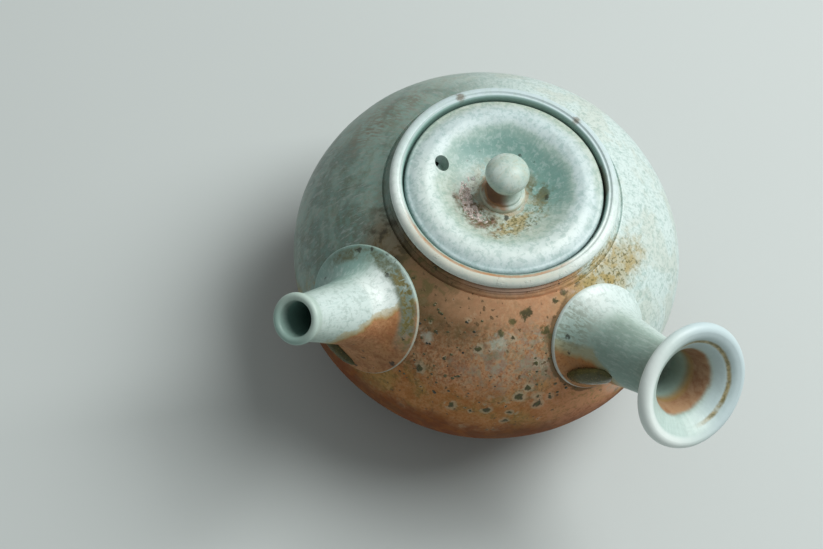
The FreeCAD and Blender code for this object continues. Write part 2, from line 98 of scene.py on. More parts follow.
class TeapotLidSizes(bpy.types.PropertyGroup):
    """Sizes of the lid and its knob."""

    radius: length("Lid radius", "Outer radius of the lid", 0.0227)
    clearance: length("Clearance", "Gap between the lid and its gallery", 0.0005)
    edge_rise: length("Edge rise", "Height of the lid's upright edge", 0.0019)
    edge_round: length("Edge round", "Round at the top of the edge", 0.0009)
    crest_radius: length("Crest radius", "Radius of the border's highest line", 0.0183)
    crest_rise: length("Crest rise", "Rise of that line over the seat", 0.0039)
    dish_depth: length("Dish depth", "Depth of the dish below the crest", 0.0050)
    thickness: length("Thickness", "Thickness of the lid", 0.0029)
    flange_reach: length("Flange reach", "How far the flange drops into the mouth", 0.0058)
    flange_wall: length("Flange wall", "Thickness of the flange", 0.0018)
    vent_radius: length("Vent radius", "Radius of the steam hole", 0.00185)
    vent_offset: length("Vent offset", "Distance of the hole from the axis", 0.0150)
    vent_turn: turn("Vent turn", "Azimuth of the hole", 121.5)
    vent_lean: turn("Vent lean", "Lean of the hole towards the knob", 16)
    knob_radius: length("Knob radius", "Radius of the knob's ball", 0.0050)
    knob_half_height: length("Knob half height", "Half the height of the ball", 0.0035)
    knob_rise: length("Knob rise", "Height of the ball's middle over the dish", 0.0087)
    knob_waist: length("Knob waist", "Radius of the knob's waist", 0.0032)
    knob_foot_radius: length("Knob foot radius", "Radius of the knob's foot", 0.0052)
    knob_foot_height: length("Knob foot height", "Height of the knob's foot", 0.0011)


class TeapotSpoutSizes(bpy.types.PropertyGroup):
    """Sizes of the spout."""

    seat_rise: length("Seat rise", "Height of the seat over the widest line", 0.0172)
    pitch: turn("Pitch", "Angle of the spout over the level", 43.1)
    reach: length("Length", "Length from the wall to the lip", 0.0272)
    flange_radius: length("Flange radius", "Radius of the flange on the wall", 0.0148)
    neck_radius: length("Neck radius", "Outer radius of the narrow part", 0.00525)
    lip_radius: length("Lip radius", "Radius of the lip's crest", 0.0048)
    lip_round: length("Lip round", "Round of the lip", 0.0009)
    bore_radius: length("Bore radius", "Inner radius of the narrow part", 0.00375)
    opening_radius: length("Opening radius", "Radius of the hole in the wall", 0.0090)


class TeapotHandleSizes(bpy.types.PropertyGroup):
    """Sizes of the handle."""

    seat_rise: length("Seat rise", "Height of the seat over the widest line", 0.0195)
    pitch: turn("Pitch", "Angle of the handle over the level", 38.3)
    azimuth: turn("Turn", "Angle round the pot from the spout", 86.8)
    reach: length("Length", "Length from the wall to the bell's lip", 0.0342)
    flange_radius: length("Flange radius", "Radius of the flange on the wall", 0.0124)
    root_radius: length("Root radius", "Outer radius just off the flange", 0.0081)
    neck_radius: length("Neck radius", "Outer radius of the narrowest part", 0.0068)
    bell_radius: length("Bell radius", "Radius of the lip's crest", 0.0125)
    lip_round: length("Lip round", "Round of the bell's lip", 0.0016)
    line_radius: length("Line radius", "Radius of the line inside the bell", 0.0099)
    line_depth: length("Line depth", "Depth of that line", 0.00025)
    throat_radius: length("Throat radius", "Radius where the bell meets the bore", 0.0076)
    bore_radius: length("Bore radius", "Radius of the bore", 0.0046)
    root_bore_radius: length("Root bore radius", "Radius of the bore at the wall", 0.0060)


class TeapotJoinSizes(bpy.types.PropertyGroup):
    """How pieces are joined, and how uneven the throwing is."""

    flange_edge: length("Flange edge", "Thickness of the flanges' edges", 0.0007)
    luting_gap: length("Luting gap", "Gap that the slip fills", 0.00005)
    unevenness: length("Unevenness", "How far the thrown walls wander", 0.00022)
    uneven_span: length("Unevenness span", "Distance between those swells", 0.021)


def arc(start, end, bow, steps):
    """Points after start and up to end; bow is the swell to the right as a share of the chord."""
    start, end = np.array(start), np.array(end)
    way = end - start
    if bow == 0.0:
        shares = np.linspace(0, 1, steps + 1)[1:, None]
        return start + way * shares
    chord = np.hypot(*way)
    half_angle = 2 * math.atan(2 * abs(bow))
    radius = chord / (2 * math.sin(half_angle))
    turns = np.linspace(-half_angle, half_angle, steps + 1)[1:, None]
    along = way / chord
    right = np.array([along[1], -along[0]]) * math.copysign(1, bow)
    return (start + way / 2 + along * radius * np.sin(turns)
            + right * radius * (np.cos(turns) - math.cos(half_angle)))


def rounded(middle, radius, first, last, steps):
    """Points of a round stretch about a middle, between two angles in degrees."""
    turns = np.radians(np.linspace(first, last, steps + 1))
    return np.array(middle) + radius * np.column_stack([np.cos(turns), np.sin(turns)])


def smooth_run(stations, steps):
    """A smooth line through stations of any dimension, as a centripetal spline."""
    points = np.array(stations, float)
    ends = np.vstack([2 * points[0] - points[1], points, 2 * points[-1] - points[-2]])
    found = [points[:1]]
    for first, second, third, fourth in zip(ends, ends[1:], ends[2:], ends[3:]):
        knots = np.cumsum([0.0] + [max(np.linalg.norm(b - a), 1e-9) ** 0.5 for a, b in
                                   ((first, second), (second, third), (third, fourth))])
        at = np.linspace(knots[1], knots[2], steps + 1)[1:, None]

        def between(a, b, low, high):
            return (a * (high - at) + b * (at - low)) / (high - low)

        left = between(first, second, knots[0], knots[1])
        middle = between(second, third, knots[1], knots[2])
        right = between(third, fourth, knots[2], knots[3])
        left = between(left, middle, knots[0], knots[2])
        right = between(middle, right, knots[1], knots[3])
        found.append(between(left, right, knots[1], knots[2]))
    return np.vstack(found)


def soft_run(controls, steps):
    """A line drawn towards controls, smooth throughout, from the first to the last of them."""
    points = np.array(controls, float)
    points = np.vstack([points[:1], points[:1], points, points[-1:], points[-1:]])
    share = np.linspace(0, 1, steps, endpoint=False)[:, None]
    weights = np.hstack([(1 - share) ** 3, 3 * share ** 3 - 6 * share ** 2 + 4,
                         3 * share * (1 + share - share ** 2) + 1, share ** 3]) / 6
    found = [weights @ points[first:first + 4] for first in range(len(points) - 3)]
    return np.vstack(found + [points[-1:]])


def thin_doubles(profile, least=1e-6):
    """The same points without repeats."""
    kept = [profile[0]]
    for point in profile[1:]:
        if np.linalg.norm(point - kept[-1]) > least:
            kept.append(point)
    return np.array(kept)


def uneven(points, sizes):
    """Shift points in and out as a thrower's hands do; near points shift alike."""
    moved = points.copy()
    finer, elsewhere, fine_share = 2.3, Vector((7.0, 3.0, 1.0)), 0.35
    for index, point in enumerate(points):
        place = Vector(point) / sizes.uneven_span
        swell = noise.noise(place) + noise.noise(place * finer + elsewhere) * fine_share
        around = math.hypot(point[0], point[1])
        share = sizes.unevenness * swell * min(1.0, around / sizes.uneven_span)
        if around > 0:
            moved[index, 0] += point[0] / around * share
            moved[index, 1] += point[1] / around * share
    return moved


def close_up(mesh, least=1e-7, sharp=math.radians(48)):
    """Merge doubles, drop faces without area, turn faces outwards and shade them smooth."""
    shape = bmesh.new()
    shape.from_mesh(mesh)
    bmesh.ops.remove_doubles(shape, verts=shape.verts, dist=least)
    bmesh.ops.dissolve_degenerate(shape, edges=shape.edges, dist=least)
    bmesh.ops.recalc_face_normals(shape, faces=shape.faces)
    shape.to_mesh(mesh)
    shape.free()
    mesh.shade_smooth()
    mesh.set_sharp_from_angle(angle=sharp)


def linked(name, data):
    """A new object of the scene."""
    made = bpy.data.objects.new(name, data)
    bpy.context.scene.collection.objects.link(made)
    return made


def piece_from(name, points, faces, material):
    """A closed mesh object at the origin, with outward normals and smooth shading."""
    mesh = bpy.data.meshes.new(name)
    mesh.from_pydata([tuple(point) for point in points], [], faces)
    close_up(mesh)
    mesh.materials.append(material)
    return linked(name, mesh)


def applied(piece, modifier):
    """Bake a modifier into the piece's mesh."""
    graph = bpy.context.evaluated_depsgraph_get()
    mesh = bpy.data.meshes.new_from_object(piece.evaluated_get(graph))
    piece.modifiers.remove(modifier)
    piece.data = mesh


def lathe_faces(rings, around):
    """Faces over one point below, rings of points, and one point above."""
    top = rings * around + 1
    faces = []
    for column in range(around):
        following = (column + 1) % around
        faces.append((0, 1 + following, 1 + column))
        faces.append((top, top - around + column, top - around + following))
        for low in range(1, top - around, around):
            high = low + around
            faces.append((low + column, low + following, high + following, high + column))
    return faces


def grid_faces(rows, columns):
    """Faces of a grid of points that is numbered row by row."""
    return [(low, low + 1, low + columns + 1, low + columns)
            for row in range(rows - 1)
            for low in range(row * columns, row * columns + columns - 1)]


def turned(name, profile, segments, sizes, material, height=0.0):
    """Turn a profile of (radius, height), from the axis and back to it, about +Z."""
    profile = thin_doubles(np.array(profile))
    angles = np.linspace(0, 2 * math.pi, segments, endpoint=False)
    rings = profile[1:-1]
    points = np.empty((len(rings) * segments + 2, 3))
    points[0] = (0, 0, profile[0][1])
    points[-1] = (0, 0, profile[-1][1])
    inner = points[1:-1].reshape(len(rings), segments, 3)
    inner[..., 0] = rings[:, :1] * np.cos(angles)
    inner[..., 1] = rings[:, :1] * np.sin(angles)
    inner[..., 2] = rings[:, 1:]
    points[:, 2] += height
    faces = lathe_faces(len(rings), segments)
    return piece_from(name, uneven(points, sizes), faces, material)


# The outlines run through points that are given as shares of the named sizes.  The last
# number of each stretch is how many steps it takes.


def base_drop(body):
    """Drop from the widest line to where the base's curve would close."""
    share = (body.foot_radius + body.foot_ledge) / body.belly_radius
    return (body.belly_height - body.foot_height) / math.sqrt(1 - share ** 2)


def shoulder_height(body):
    """Height of the line at the neck's foot."""
    share = body.shoulder_radius / body.belly_radius
    return body.belly_height + body.crown_rise * math.sqrt(1 - share ** 2)


def rim_height(body):
    return shoulder_height(body) + body.neck_height


def seat_height(body):
    """Height of the ledge that the lid rests on."""
    return rim_height(body) - body.seat_depth


def belly_run(body, inset, drop, first, last, steps):
    """Points of the belly's curve between two angles in degrees, set in from the outside."""
    turns = np.radians(np.linspace(first, last, steps + 1))
    rise = body.crown_rise if last > 0 or first > 0 else drop
    return np.column_stack([(body.belly_radius - inset) * np.cos(turns),
                            body.belly_height + (rise - inset) * np.sin(turns)])


def body_profile(body, lid):
    """The body's outline: up the outside, over the rim and down the inside."""
    drop = base_drop(body)
    shoulder = shoulder_height(body)
    rim = rim_height(body)
    seat = seat_height(body)
    gallery = lid.radius + lid.clearance
    mouth = lid.radius - body.seat_width
    ledge = seat - body.ledge_thickness
    foot_angle = -math.degrees(math.asin((body.belly_height - body.foot_height) / drop))
    shoulder_angle = math.degrees(math.acos(body.shoulder_radius / body.belly_radius))
    inner_top = math.degrees(math.asin((ledge - body.belly_height)
                                       / (body.crown_rise - body.wall)))
    inner_foot = -math.degrees(math.asin((body.belly_height - body.floor)
                                         / (drop - body.wall)))
    neck_foot = body.shoulder_radius - body.neck_inset
    bead = (gallery + body.rim_round, rim - body.rim_round)
    neck_top = (bead[0] + body.rim_round * 0.80, bead[1] - body.rim_round * 0.60)
    line = ((neck_foot + neck_top[0]) / 2, (shoulder + neck_top[1]) / 2)
    groove = body.groove_depth
    runs = [
        arc((0, 0), (body.foot_radius - body.foot_bevel, 0), 0, 10),
        arc((body.foot_radius - body.foot_bevel, 0), (body.foot_radius, body.foot_bevel), 0.2, 3),
        arc((body.foot_radius, body.foot_bevel), (body.foot_radius, body.foot_height), 0, 2),
        belly_run(body, 0, drop, foot_angle, 0, 40),
        belly_run(body, 0, drop, 0, shoulder_angle, 64)[1:],
        smooth_run([
            (body.shoulder_radius, shoulder),
            (body.shoulder_radius - groove, shoulder + groove * 0.2),
            (body.shoulder_radius - groove * 1.7, shoulder - groove * 0.9),
            (neck_foot - groove * 0.2, shoulder + groove * 0.7),
            (line[0] + groove * 0.5, line[1] - groove * 1.6),
            (line[0] + groove * 0.1, line[1] - groove * 0.6),
            (line[0] - body.line_depth * 1.6, line[1]),
            (line[0] - groove * 0.2, line[1] + groove * 0.8),
            (line[0] - groove * 1.5, line[1] + groove * 2.2),
            (neck_top[0] - groove * 0.9, neck_top[1] - groove * 0.9),
        ], 5),
        rounded(bead, body.rim_round, -40, 95, 14),
        smooth_run([
            (bead[0] - body.rim_round * 0.087, rim),
            (gallery + body.rim_round * 0.62, rim - body.rim_groove),
            (gallery + body.rim_round * 0.36, rim - body.rim_groove * 0.85),
            (gallery + body.rim_round * 0.10, rim - body.rim_groove * 1.8),
            (gallery, bead[1]),
        ], 4),
        arc((gallery, bead[1]), (gallery, seat), 0, 6),
        arc((gallery, seat), (mouth, seat), 0, 5),
        arc((mouth, seat), (mouth, ledge), 0, 5),
        belly_run(body, body.wall, drop, inner_top, 0, 24),
        belly_run(body, body.wall, drop, 0, inner_foot, 22)[1:],
    ]
    return np.vstack([[(0.0, 0.0)]] + runs + [arc(runs[-1][-1], (0, body.floor), 0, 6)])


def seat_frame(body, seat_rise, pitch, azimuth=0.0):
    """The frame of a luted tube: its origin on the wall, +Z along the tube."""
    radius = body.belly_radius * math.sqrt(1 - (seat_rise / body.crown_rise) ** 2)
    lean = Matrix.Rotation(pitch - math.pi / 2, 4, "Y")
    place = Matrix.Translation((-radius, 0, body.belly_height + seat_rise))
    return Matrix.Rotation(azimuth, 4, "Z") @ place @ lean


def wall_under(seat, body, across, angles):
    """How far along a tube's axis the body's wall lies, at a distance across and angles."""
    turn_part = np.array(seat.to_3x3())
    start = (np.column_stack([across * np.cos(angles), across * np.sin(angles),
                              np.zeros_like(angles)]) @ turn_part.T
             + np.array(seat.translation))
    start[:, 2] -= body.belly_height
    way = turn_part[:, 2]
    found = []
    for rise in (body.crown_rise, base_drop(body)):
        to_sphere = 1 / np.array([body.belly_radius, body.belly_radius, rise])
        line, from_middle = way * to_sphere, start * to_sphere
        square = line @ line
        mixed = from_middle @ line
        rest = np.sum(from_middle ** 2, axis=1) - 1
        found.append((-mixed + np.sqrt(np.maximum(mixed ** 2 - square * rest, 0))) / square)
    crown, base = found
    return np.where(start[:, 2] + crown * way[2] < 0, base, crown)


def luted_tube(name, profile, place, body, joins, material, segments=192):
    """A tube on the body's wall.

    Its profile has points of (radius, rise, follow): rise is the height along the
    axis, and follow is the share of the wall's own fall at that radius that is added.
    """
    angles = np.linspace(0, 2 * math.pi, segments, endpoint=False)
    rows = []
    for across, rise, follow in profile:
        along = rise + joins.luting_gap + follow * wall_under(place, body, across, angles)
        rows.append(np.column_stack([across * np.cos(angles), across * np.sin(angles), along]))
    points = np.vstack(rows) @ np.array(place.to_3x3()).T + np.array(place.translation)
    faces = []
    for low in range(0, len(points), segments):
        high = (low + segments) % len(points)
        for column in range(segments):
            following = (column + 1) % segments
            faces.append((low + column, low + following, high + following, high + column))
    return piece_from(name, uneven(points, joins), faces, material)


def spout_place(body, spout):
    return seat_frame(body, spout.seat_rise, spout.pitch)


def handle_place(body, handle):
    return seat_frame(body, handle.seat_rise, handle.pitch, handle.azimuth)


def lip_over(middle, radius, last):
    """A tube's lip, from its outermost point round to an angle in degrees."""
    return np.insert(rounded(middle, radius, 0, last, 14), 2, 0.0, axis=1)


def spout_profile(spout, joins):
    """Up the outside of the spout, over its lip, down its bore and out under its flange."""
    wide = spout.flange_radius
    spread = wide - spout.neck_radius
    edge = joins.flange_edge
    lip = (spout.lip_radius, spout.reach - spout.lip_round)
    neck = spout.neck_radius
    outside = soft_run([
        (wide, 0.0, 1.0),
        (wide, edge * 0.7, 1.0),
        (wide - edge * 0.3, edge * 1.1, 1.0),
        (wide - edge * 1.6, edge * 1.3, 1.0),
        (neck + spread * 0.72, edge * 2.0, 1.00),
        (neck + spread * 0.50, spout.reach * 0.085, 0.90),
        (neck + spread * 0.31, spout.reach * 0.150, 0.62),
        (neck + spread * 0.22, spout.reach * 0.260, 0.33),
        (neck + spread * 0.155, spout.reach * 0.400, 0.12),
        (neck + spread * 0.095, spout.reach * 0.550, 0.02),
        (neck + spread * 0.035, spout.reach * 0.710, 0.00),
        (neck - spread * 0.010, spout.reach * 0.850, 0.00),
        (lip[0] + spout.lip_round * 0.95, lip[1] - spout.lip_round * 0.8, 0.0),
        (lip[0] + spout.lip_round, lip[1], 0.0),
    ], 9)
    over_lip = lip_over(lip, spout.lip_round, 180)
    bore = smooth_run([
        (lip[0] - spout.lip_round, lip[1], 0.0),
        (spout.bore_radius, spout.reach * 0.90, 0.0),
        (spout.bore_radius, spout.reach * 0.60, 0.0),
        (spout.bore_radius + (spout.opening_radius - spout.bore_radius) * 0.3,
         spout.reach * 0.24, 0.0),
        (spout.opening_radius - edge, spout.reach * 0.02, 0.9),
        (spout.opening_radius, 0.0, 1.0),
    ], 7)
    under = smooth_run([(spout.opening_radius, 0.0, 1.0), (wide - edge * 0.4, 0.0, 1.0)], 8)
    return thin_doubles(np.vstack([outside, over_lip, bore, under]))


def handle_profile(handle, joins):
    """Up the outside of the handle, over the bell's lip, down its bore and out again."""
    wide = handle.flange_radius
    edge = joins.flange_edge
    reach = handle.reach
    lip = (handle.bell_radius, reach - handle.lip_round)
    root, neck = handle.root_radius, handle.neck_radius
    outside = soft_run([
        (wide, 0.0, 1.0),
        (wide, edge * 0.7, 1.0),
        (wide - edge * 0.3, edge * 1.15, 1.0),
        (wide - edge * 1.3, edge * 1.6, 1.0),
        (wide * 0.845, edge * 2.7, 0.97),
        (wide * 0.74, reach * 0.115, 0.75),
        (root * 1.02, reach * 0.195, 0.40),
        (root * 0.955, reach * 0.300, 0.12),
        (root * 0.895, reach * 0.420, 0.02),
        (neck * 1.0, reach * 0.550, 0.0),
        (neck * 0.985, reach * 0.660, 0.0),
        (neck * 1.10, reach * 0.765, 0.0),
        (neck * 1.34, reach * 0.855, 0.0),
        (neck * 1.72, reach * 0.915, 0.0),
        (lip[0] + handle.lip_round * 0.97, lip[1] - handle.lip_round * 0.55, 0.0),
        (lip[0] + handle.lip_round, lip[1], 0.0),
    ], 9)
    over_lip = lip_over(lip, handle.lip_round, 96)
    line, dip = handle.line_radius, handle.line_depth
    inside = soft_run([
        tuple(over_lip[-1]),
        (line * 1.15, reach - dip * 1.0, 0.0),
        (line * 1.07, reach - dip * 3.2, 0.0),
        (line * 1.015, reach - dip * 5.6, 0.0),
        (line * 0.985, reach - dip * 6.4, 0.0),
        (line * 0.93, reach - dip * 8.0, 0.0),
        (line * 0.85, reach - dip * 12.0, 0.0),
        (handle.throat_radius, reach * 0.880, 0.0),
        (handle.throat_radius * 0.93, reach * 0.850, 0.0),
        (handle.throat_radius * 0.86, reach * 0.800, 0.0),
        (handle.bore_radius * 1.15, reach * 0.700, 0.0),
        (handle.bore_radius, reach * 0.560, 0.0),
        (handle.bore_radius, reach * 0.300, 0.0),
        (handle.root_bore_radius, reach * 0.080, 0.0),
        (handle.root_bore_radius, 0.0, 1.0),
    ], 7)
    under = smooth_run([(handle.root_bore_radius, 0.0, 1.0), (wide - edge * 0.4, 0.0, 1.0)], 8)
    return thin_doubles(np.vstack([outside, over_lip, inside, under]))


def lid_profile(body, lid):
    """The lid's outline over its seat: out under it, up its edge and back over the dish."""
    dish = lid.crest_rise - lid.dish_depth
    flange = lid.radius - body.seat_width - lid.clearance
    foot = lid.knob_foot_radius + lid.knob_foot_height
    root = (flange - lid.flange_wall, lid.crest_rise - lid.thickness * 1.1)
    under = dish - lid.thickness
    edge = (lid.radius - lid.edge_round, lid.edge_rise)
    crest = lid.crest_radius
    top = smooth_run([
        (edge[0], edge[1] + lid.edge_round),
        ((edge[0] + crest) / 2, lid.crest_rise - lid.edge_round * 0.34),
        (crest, lid.crest_rise),
        (crest - lid.edge_round * 1.45, lid.crest_rise - lid.dish_depth * 0.045),
        (crest - lid.edge_round * 2.9, lid.crest_rise - lid.dish_depth * 0.150),
        (crest - lid.edge_round * 5.2, lid.crest_rise - lid.dish_depth * 0.385),
        (crest - lid.edge_round * 8.2, lid.crest_rise - lid.dish_depth * 0.68),
        (foot + lid.edge_round * 2.2, lid.crest_rise - lid.dish_depth * 0.895),
        (foot, dish + lid.edge_round * 0.06),
        (foot * 0.7, dish),
    ], 8)
    return np.vstack([
        [(0.0, under)],
        arc((0, under), (foot, under), 0, 5),
        arc((foot, under), root, 0.08, 14),
        arc(root, (root[0], -lid.flange_reach), 0, 5),
        rounded((root[0] + lid.flange_wall / 2, -lid.flange_reach + lid.flange_wall / 2),
                lid.flange_wall / 2, 180, 360, 10),
        arc((flange, -lid.flange_reach + lid.flange_wall / 2), (flange, 0), 0, 5),
        arc((flange, 0), (lid.radius - lid.edge_round / 2, 0), 0, 4),
        arc((lid.radius - lid.edge_round / 2, 0), (lid.radius, lid.edge_round / 2), 0.2, 4),
        arc((lid.radius, lid.edge_round / 2), (lid.radius, lid.edge_rise), 0, 3),
        rounded(edge, lid.edge_round, 0, 90, 8),
        top,
        [(0.0, dish)],
    ])


def knob_profile(lid):
    """The knob's outline over the dish: a stepped foot, a waist and a flattened ball."""
    foot = lid.knob_foot_radius
    step = lid.knob_foot_height
    rise = lid.knob_rise
    high = lid.knob_half_height
    ball = rounded((0, 0), 1.0, -42, 84, 30) * [lid.knob_radius, high] + [0, rise]
    tip = [(lid.knob_radius * 0.055, rise + high * 1.012), (0.0, rise + high * 1.018)]
    stem = smooth_run([
        (foot, 0.0),
        (foot, step * 0.55),
        (foot - step * 0.25, step * 0.95),
        (foot - step * 0.8, step * 1.06),
        (foot - step * 0.95, step * 1.55),
        (foot - step * 1.35, step * 1.85),
        (lid.knob_waist * 1.06, step * 2.4),
        (lid.knob_waist, rise * 0.42),
        (lid.knob_waist * 1.03, rise * 0.55),
        (lid.knob_waist * 1.09, rise * 0.655),
        tuple(ball[0]),
    ], 6)
    return np.vstack([[(0.0, 0.0)], arc((0, 0), (foot, 0), 0, 5), stem, ball, tip])


def bored(piece, radius, place, reach, segments=96):
    """Cut a round hole along a frame's +Z, both ways from its origin."""
    half_facet = Matrix.Rotation(math.pi / segments, 4, "Z")
    mesh = bpy.data.meshes.new("cutter")
    shape = bmesh.new()
    bmesh.ops.create_cone(shape, cap_ends=True, segments=segments, radius1=radius,
                          radius2=radius, depth=reach * 2, matrix=place @ half_facet)
    shape.to_mesh(mesh)
    shape.free()
    cutter = linked("cutter", mesh)
    cut = piece.modifiers.new("bore", "BOOLEAN")
    cut.operation = "DIFFERENCE"
    cut.solver = "EXACT"
    cut.object = cutter
    applied(piece, cut)
    bpy.data.objects.remove(cutter)
    close_up(piece.data)


class TeapotColours(bpy.types.PropertyGroup):
    """Linear colours of the clay and of the ash glaze; some are also laid on as painted light and
    shade.
    """

    mint: colour("Mint", "Ash glaze of usual thickness", 0.43, 0.55, 0.485)
    # Frost is laid pale on the side towards the lamp, partly as painted light.
    frost: colour("Frost", "Thick pale glaze on the side that the ash fell on", 0.60, 0.71, 0.685)
    # Milk is white glaze, and is also laid as painted highlights on lit parts.
    milk: colour("Milk", "White glaze where the most ash melted", 0.78, 0.85, 0.81)
    teal: colour("Teal", "Glassy blue-green glaze", 0.175, 0.325, 0.285)
    sky: colour("Sky", "Bluish glaze where it gathered", 0.46, 0.58, 0.62)
    # On the body, moss covers the side away from the lamp, partly as painted shade.
    moss: colour("Moss", "Grey-green glaze on the side that the ash missed", 0.165, 0.235, 0.195)
    olive: colour("Olive", "Glaze rich in ash", 0.095, 0.095, 0.032)
    ochre: colour("Ochre", "Thin yellow glaze over clay", 0.37, 0.27, 0.080)
    cream: colour("Cream", "Pale dry ash", 0.47, 0.44, 0.31)
    salmon: colour("Salmon", "Flashed clay", 0.375, 0.200, 0.092)
    peach: colour("Peach", "Rosy clay where the flame passed", 0.62, 0.29, 0.155)
    orange: colour("Orange", "Clay where the flame turned", 0.45, 0.175, 0.032)
    rust: colour("Rust", "Dark toasted clay", 0.165, 0.043, 0.008)
    umber: colour("Umber", "Clay smoked brown", 0.125, 0.080, 0.036)
    bare: colour("Bare clay", "Clay that the fire hardly marked", 0.42, 0.29, 0.165)
    char: colour("Char", "Melted ash specks and crusts", 0.028, 0.026, 0.016)
    # Glass is laid on the pools, where its darkness partly stands for crevice shade, as painted
    # shade.
    glass: colour("Glass", "Deep green glass where ash ran together", 0.088, 0.084, 0.028)
    blush: colour("Blush", "Milky crust on the lid", 0.72, 0.62, 0.57)


class Field:
    """A value that changes over a surface; sums and products of fields add their nodes."""

    def __init__(self, wiring, socket):
        self.wiring = wiring
        self.socket = socket

    def __add__(self, other):
        return self.wiring.math("ADD", self, other)

    def __sub__(self, other):
        return self.wiring.math("SUBTRACT", self, other)

    def __rsub__(self, other):
        return self.wiring.math("SUBTRACT", other, self)

    def __mul__(self, other):
        return self.wiring.math("MULTIPLY", self, other)

    __radd__ = __add__
    __rmul__ = __mul__

    def band(self, low, high):
        """0 at low and 1 at high, with soft ends."""
        return self.wiring.node("MapRange", {"Value": self, "From Min": low, "From Max": high},
                                interpolation_type="SMOOTHSTEP")[0]

    def between(self, low, high, soft):
        """1 between low and high, falling off over a soft width outside them."""
        return self.band(low - soft, low) * self.band(high + soft, high)

    def without(self, other):
        """This field where the other is 0, and none of it where the other is 1."""
        return self * self.wiring.math("SUBTRACT", 1.0, other, clamp=True)

    def most(self, *others):
        """The highest of the fields."""
        found = self
        for other in others:
            found = self.wiring.math("MAXIMUM", found, other)
        return found


class Wiring:
    """Adds and links the nodes of one shader tree."""

    def __init__(self, tree, colours=None):
        self.tree = tree
        self.colours = colours

    def node(self, kind, inputs=(), **settings):
        """Add a node with its settings and inputs; gives its outputs by number and by name."""
        made = self.tree.nodes.new("ShaderNode" + kind)
        for name, value in settings.items():
            setattr(made, name, value)
        for name, value in dict(inputs).items():
            self.feed(made.inputs[name], value)
        fields = [Field(self, socket) for socket in made.outputs]
        return {**dict(enumerate(fields)), **{field.socket.name: field for field in fields}}

    def feed(self, socket, value):
        """Link a field to a socket, or set the socket; a word names one of the colours."""
        if isinstance(value, Field):
            self.tree.links.new(value.socket, socket)
            return
        if isinstance(value, str):
            value = getattr(self.colours, value)
        socket.default_value = (*value, 1.0) if socket.type == "RGBA" else value

    def group(self, name, **inputs):
        """Place a shared group, and build it where it is first used."""
        if name not in bpy.data.node_groups:
            SHARED_GROUPS[name]()
        return self.node("Group", inputs, node_tree=bpy.data.node_groups[name])

    def give(self, **values):
        """Feed the outputs of a shared group."""
        for name, value in values.items():
            self.feed(self.end.inputs[name], value)

    def math(self, operation, first, second=0.0, clamp=False):
        """A sum of its own, where the signs of fields don't say it."""
        return self.node("Math", {0: first, 1: second}, operation=operation, use_clamp=clamp)[0]

    def vector(self, operation, first, second=(0, 0, 0)):
        """A vector sum; a length or a product gives a single value."""
        found = self.node("VectorMath", {0: first, 1: second}, operation=operation)
        return found["Value" if operation in ("DOT_PRODUCT", "LENGTH") else "Vector"]

    def stretched(self, vector, amount):
        """A vector times a single value."""
        return self.node("VectorMath", {0: vector, "Scale": amount}, operation="SCALE")[0]

    def parts(self, vector):
        """The three parts of a vector."""
        found = self.node("SeparateXYZ", {0: vector})
        return [found[number] for number in range(3)]

    def whole(self, *parts):
        """A vector of two or three parts."""
        return self.node("CombineXYZ", dict(enumerate(parts)))[0]

    def noise(self, vector, scale, detail=4.0, roughness=0.55, distortion=0.0):
        """Noise from 0 to 1; the scale is how many of its waves go in a metre."""
        return self.node("TexNoise", {"Vector": vector, "Scale": scale, "Detail": detail,
                                      "Roughness": roughness, "Distortion": distortion})["Fac"]

    def sway(self, *how):
        """Noise about 0, with the same choices."""
        return self.noise(*how) - 0.5

    def paint(self, ground, *coats):
        """Lay coats of (mask, colour) over a ground, one after another."""
        for mask, value in coats:
            ground = self.node("Mix", {0: mask, 6: ground, 7: value}, data_type="RGBA")[2]
        return ground


def shared_group(name, outputs, **inputs):
    """Start a shader group with named sockets; gives its wiring and its inputs."""
    wiring = Wiring(bpy.data.node_groups.new(name, "ShaderNodeTree"))
    for socket, value in inputs.items():
        kind = "NodeSocketVector" if isinstance(value, tuple) else "NodeSocketFloat"
        made = wiring.tree.interface.new_socket(socket, in_out="INPUT", socket_type=kind)
        made.default_value = value
    for socket in outputs:
        kind = "NodeSocketVector" if socket == "Vector" else "NodeSocketFloat"
        wiring.tree.interface.new_socket(socket, in_out="OUTPUT", socket_type=kind)
    start = wiring.tree.nodes.new("NodeGroupInput")
    wiring.end = wiring.tree.nodes.new("NodeGroupOutput")
    return wiring, [Field(wiring, start.outputs[socket]) for socket in inputs]


MIDDLE = (0, 0, 0)


def patch_group():
    """A ragged soft blob around a place."""
    wiring, (place, centre, reach, soft, ragged, grain) = shared_group(
        "glaze_patch", ("Mask",), Place=MIDDLE, Centre=MIDDLE, Reach=(0.01, 0.01, 0.01),
        Soft=0.3, Ragged=0.5, Grain=400.0)
    away = wiring.vector("DIVIDE", wiring.vector("SUBTRACT", place, centre), reach)
    away = wiring.vector("LENGTH", away) + wiring.sway(place, grain, 5.0, 0.62) * ragged * 2.0
    wiring.give(Mask=away.band(1.0 + soft, 1.0 - soft))


def round_group():
    """Coordinates that run round an axis, so that noise streaks along it or away from it."""
    wiring, (place, width, length_share) = shared_group(
        "round_place", ("Vector",), Place=MIDDLE, Width=0.03, Along=0.3)
    x, y, z = wiring.parts(place)
    flat = wiring.whole(x, y)
    around = wiring.stretched(wiring.vector("NORMALIZE", flat), width)
    down = (wiring.vector("LENGTH", flat) - z) * length_share
    wiring.give(Vector=wiring.vector("ADD", around, wiring.whole(0.0, 0.0, down)))


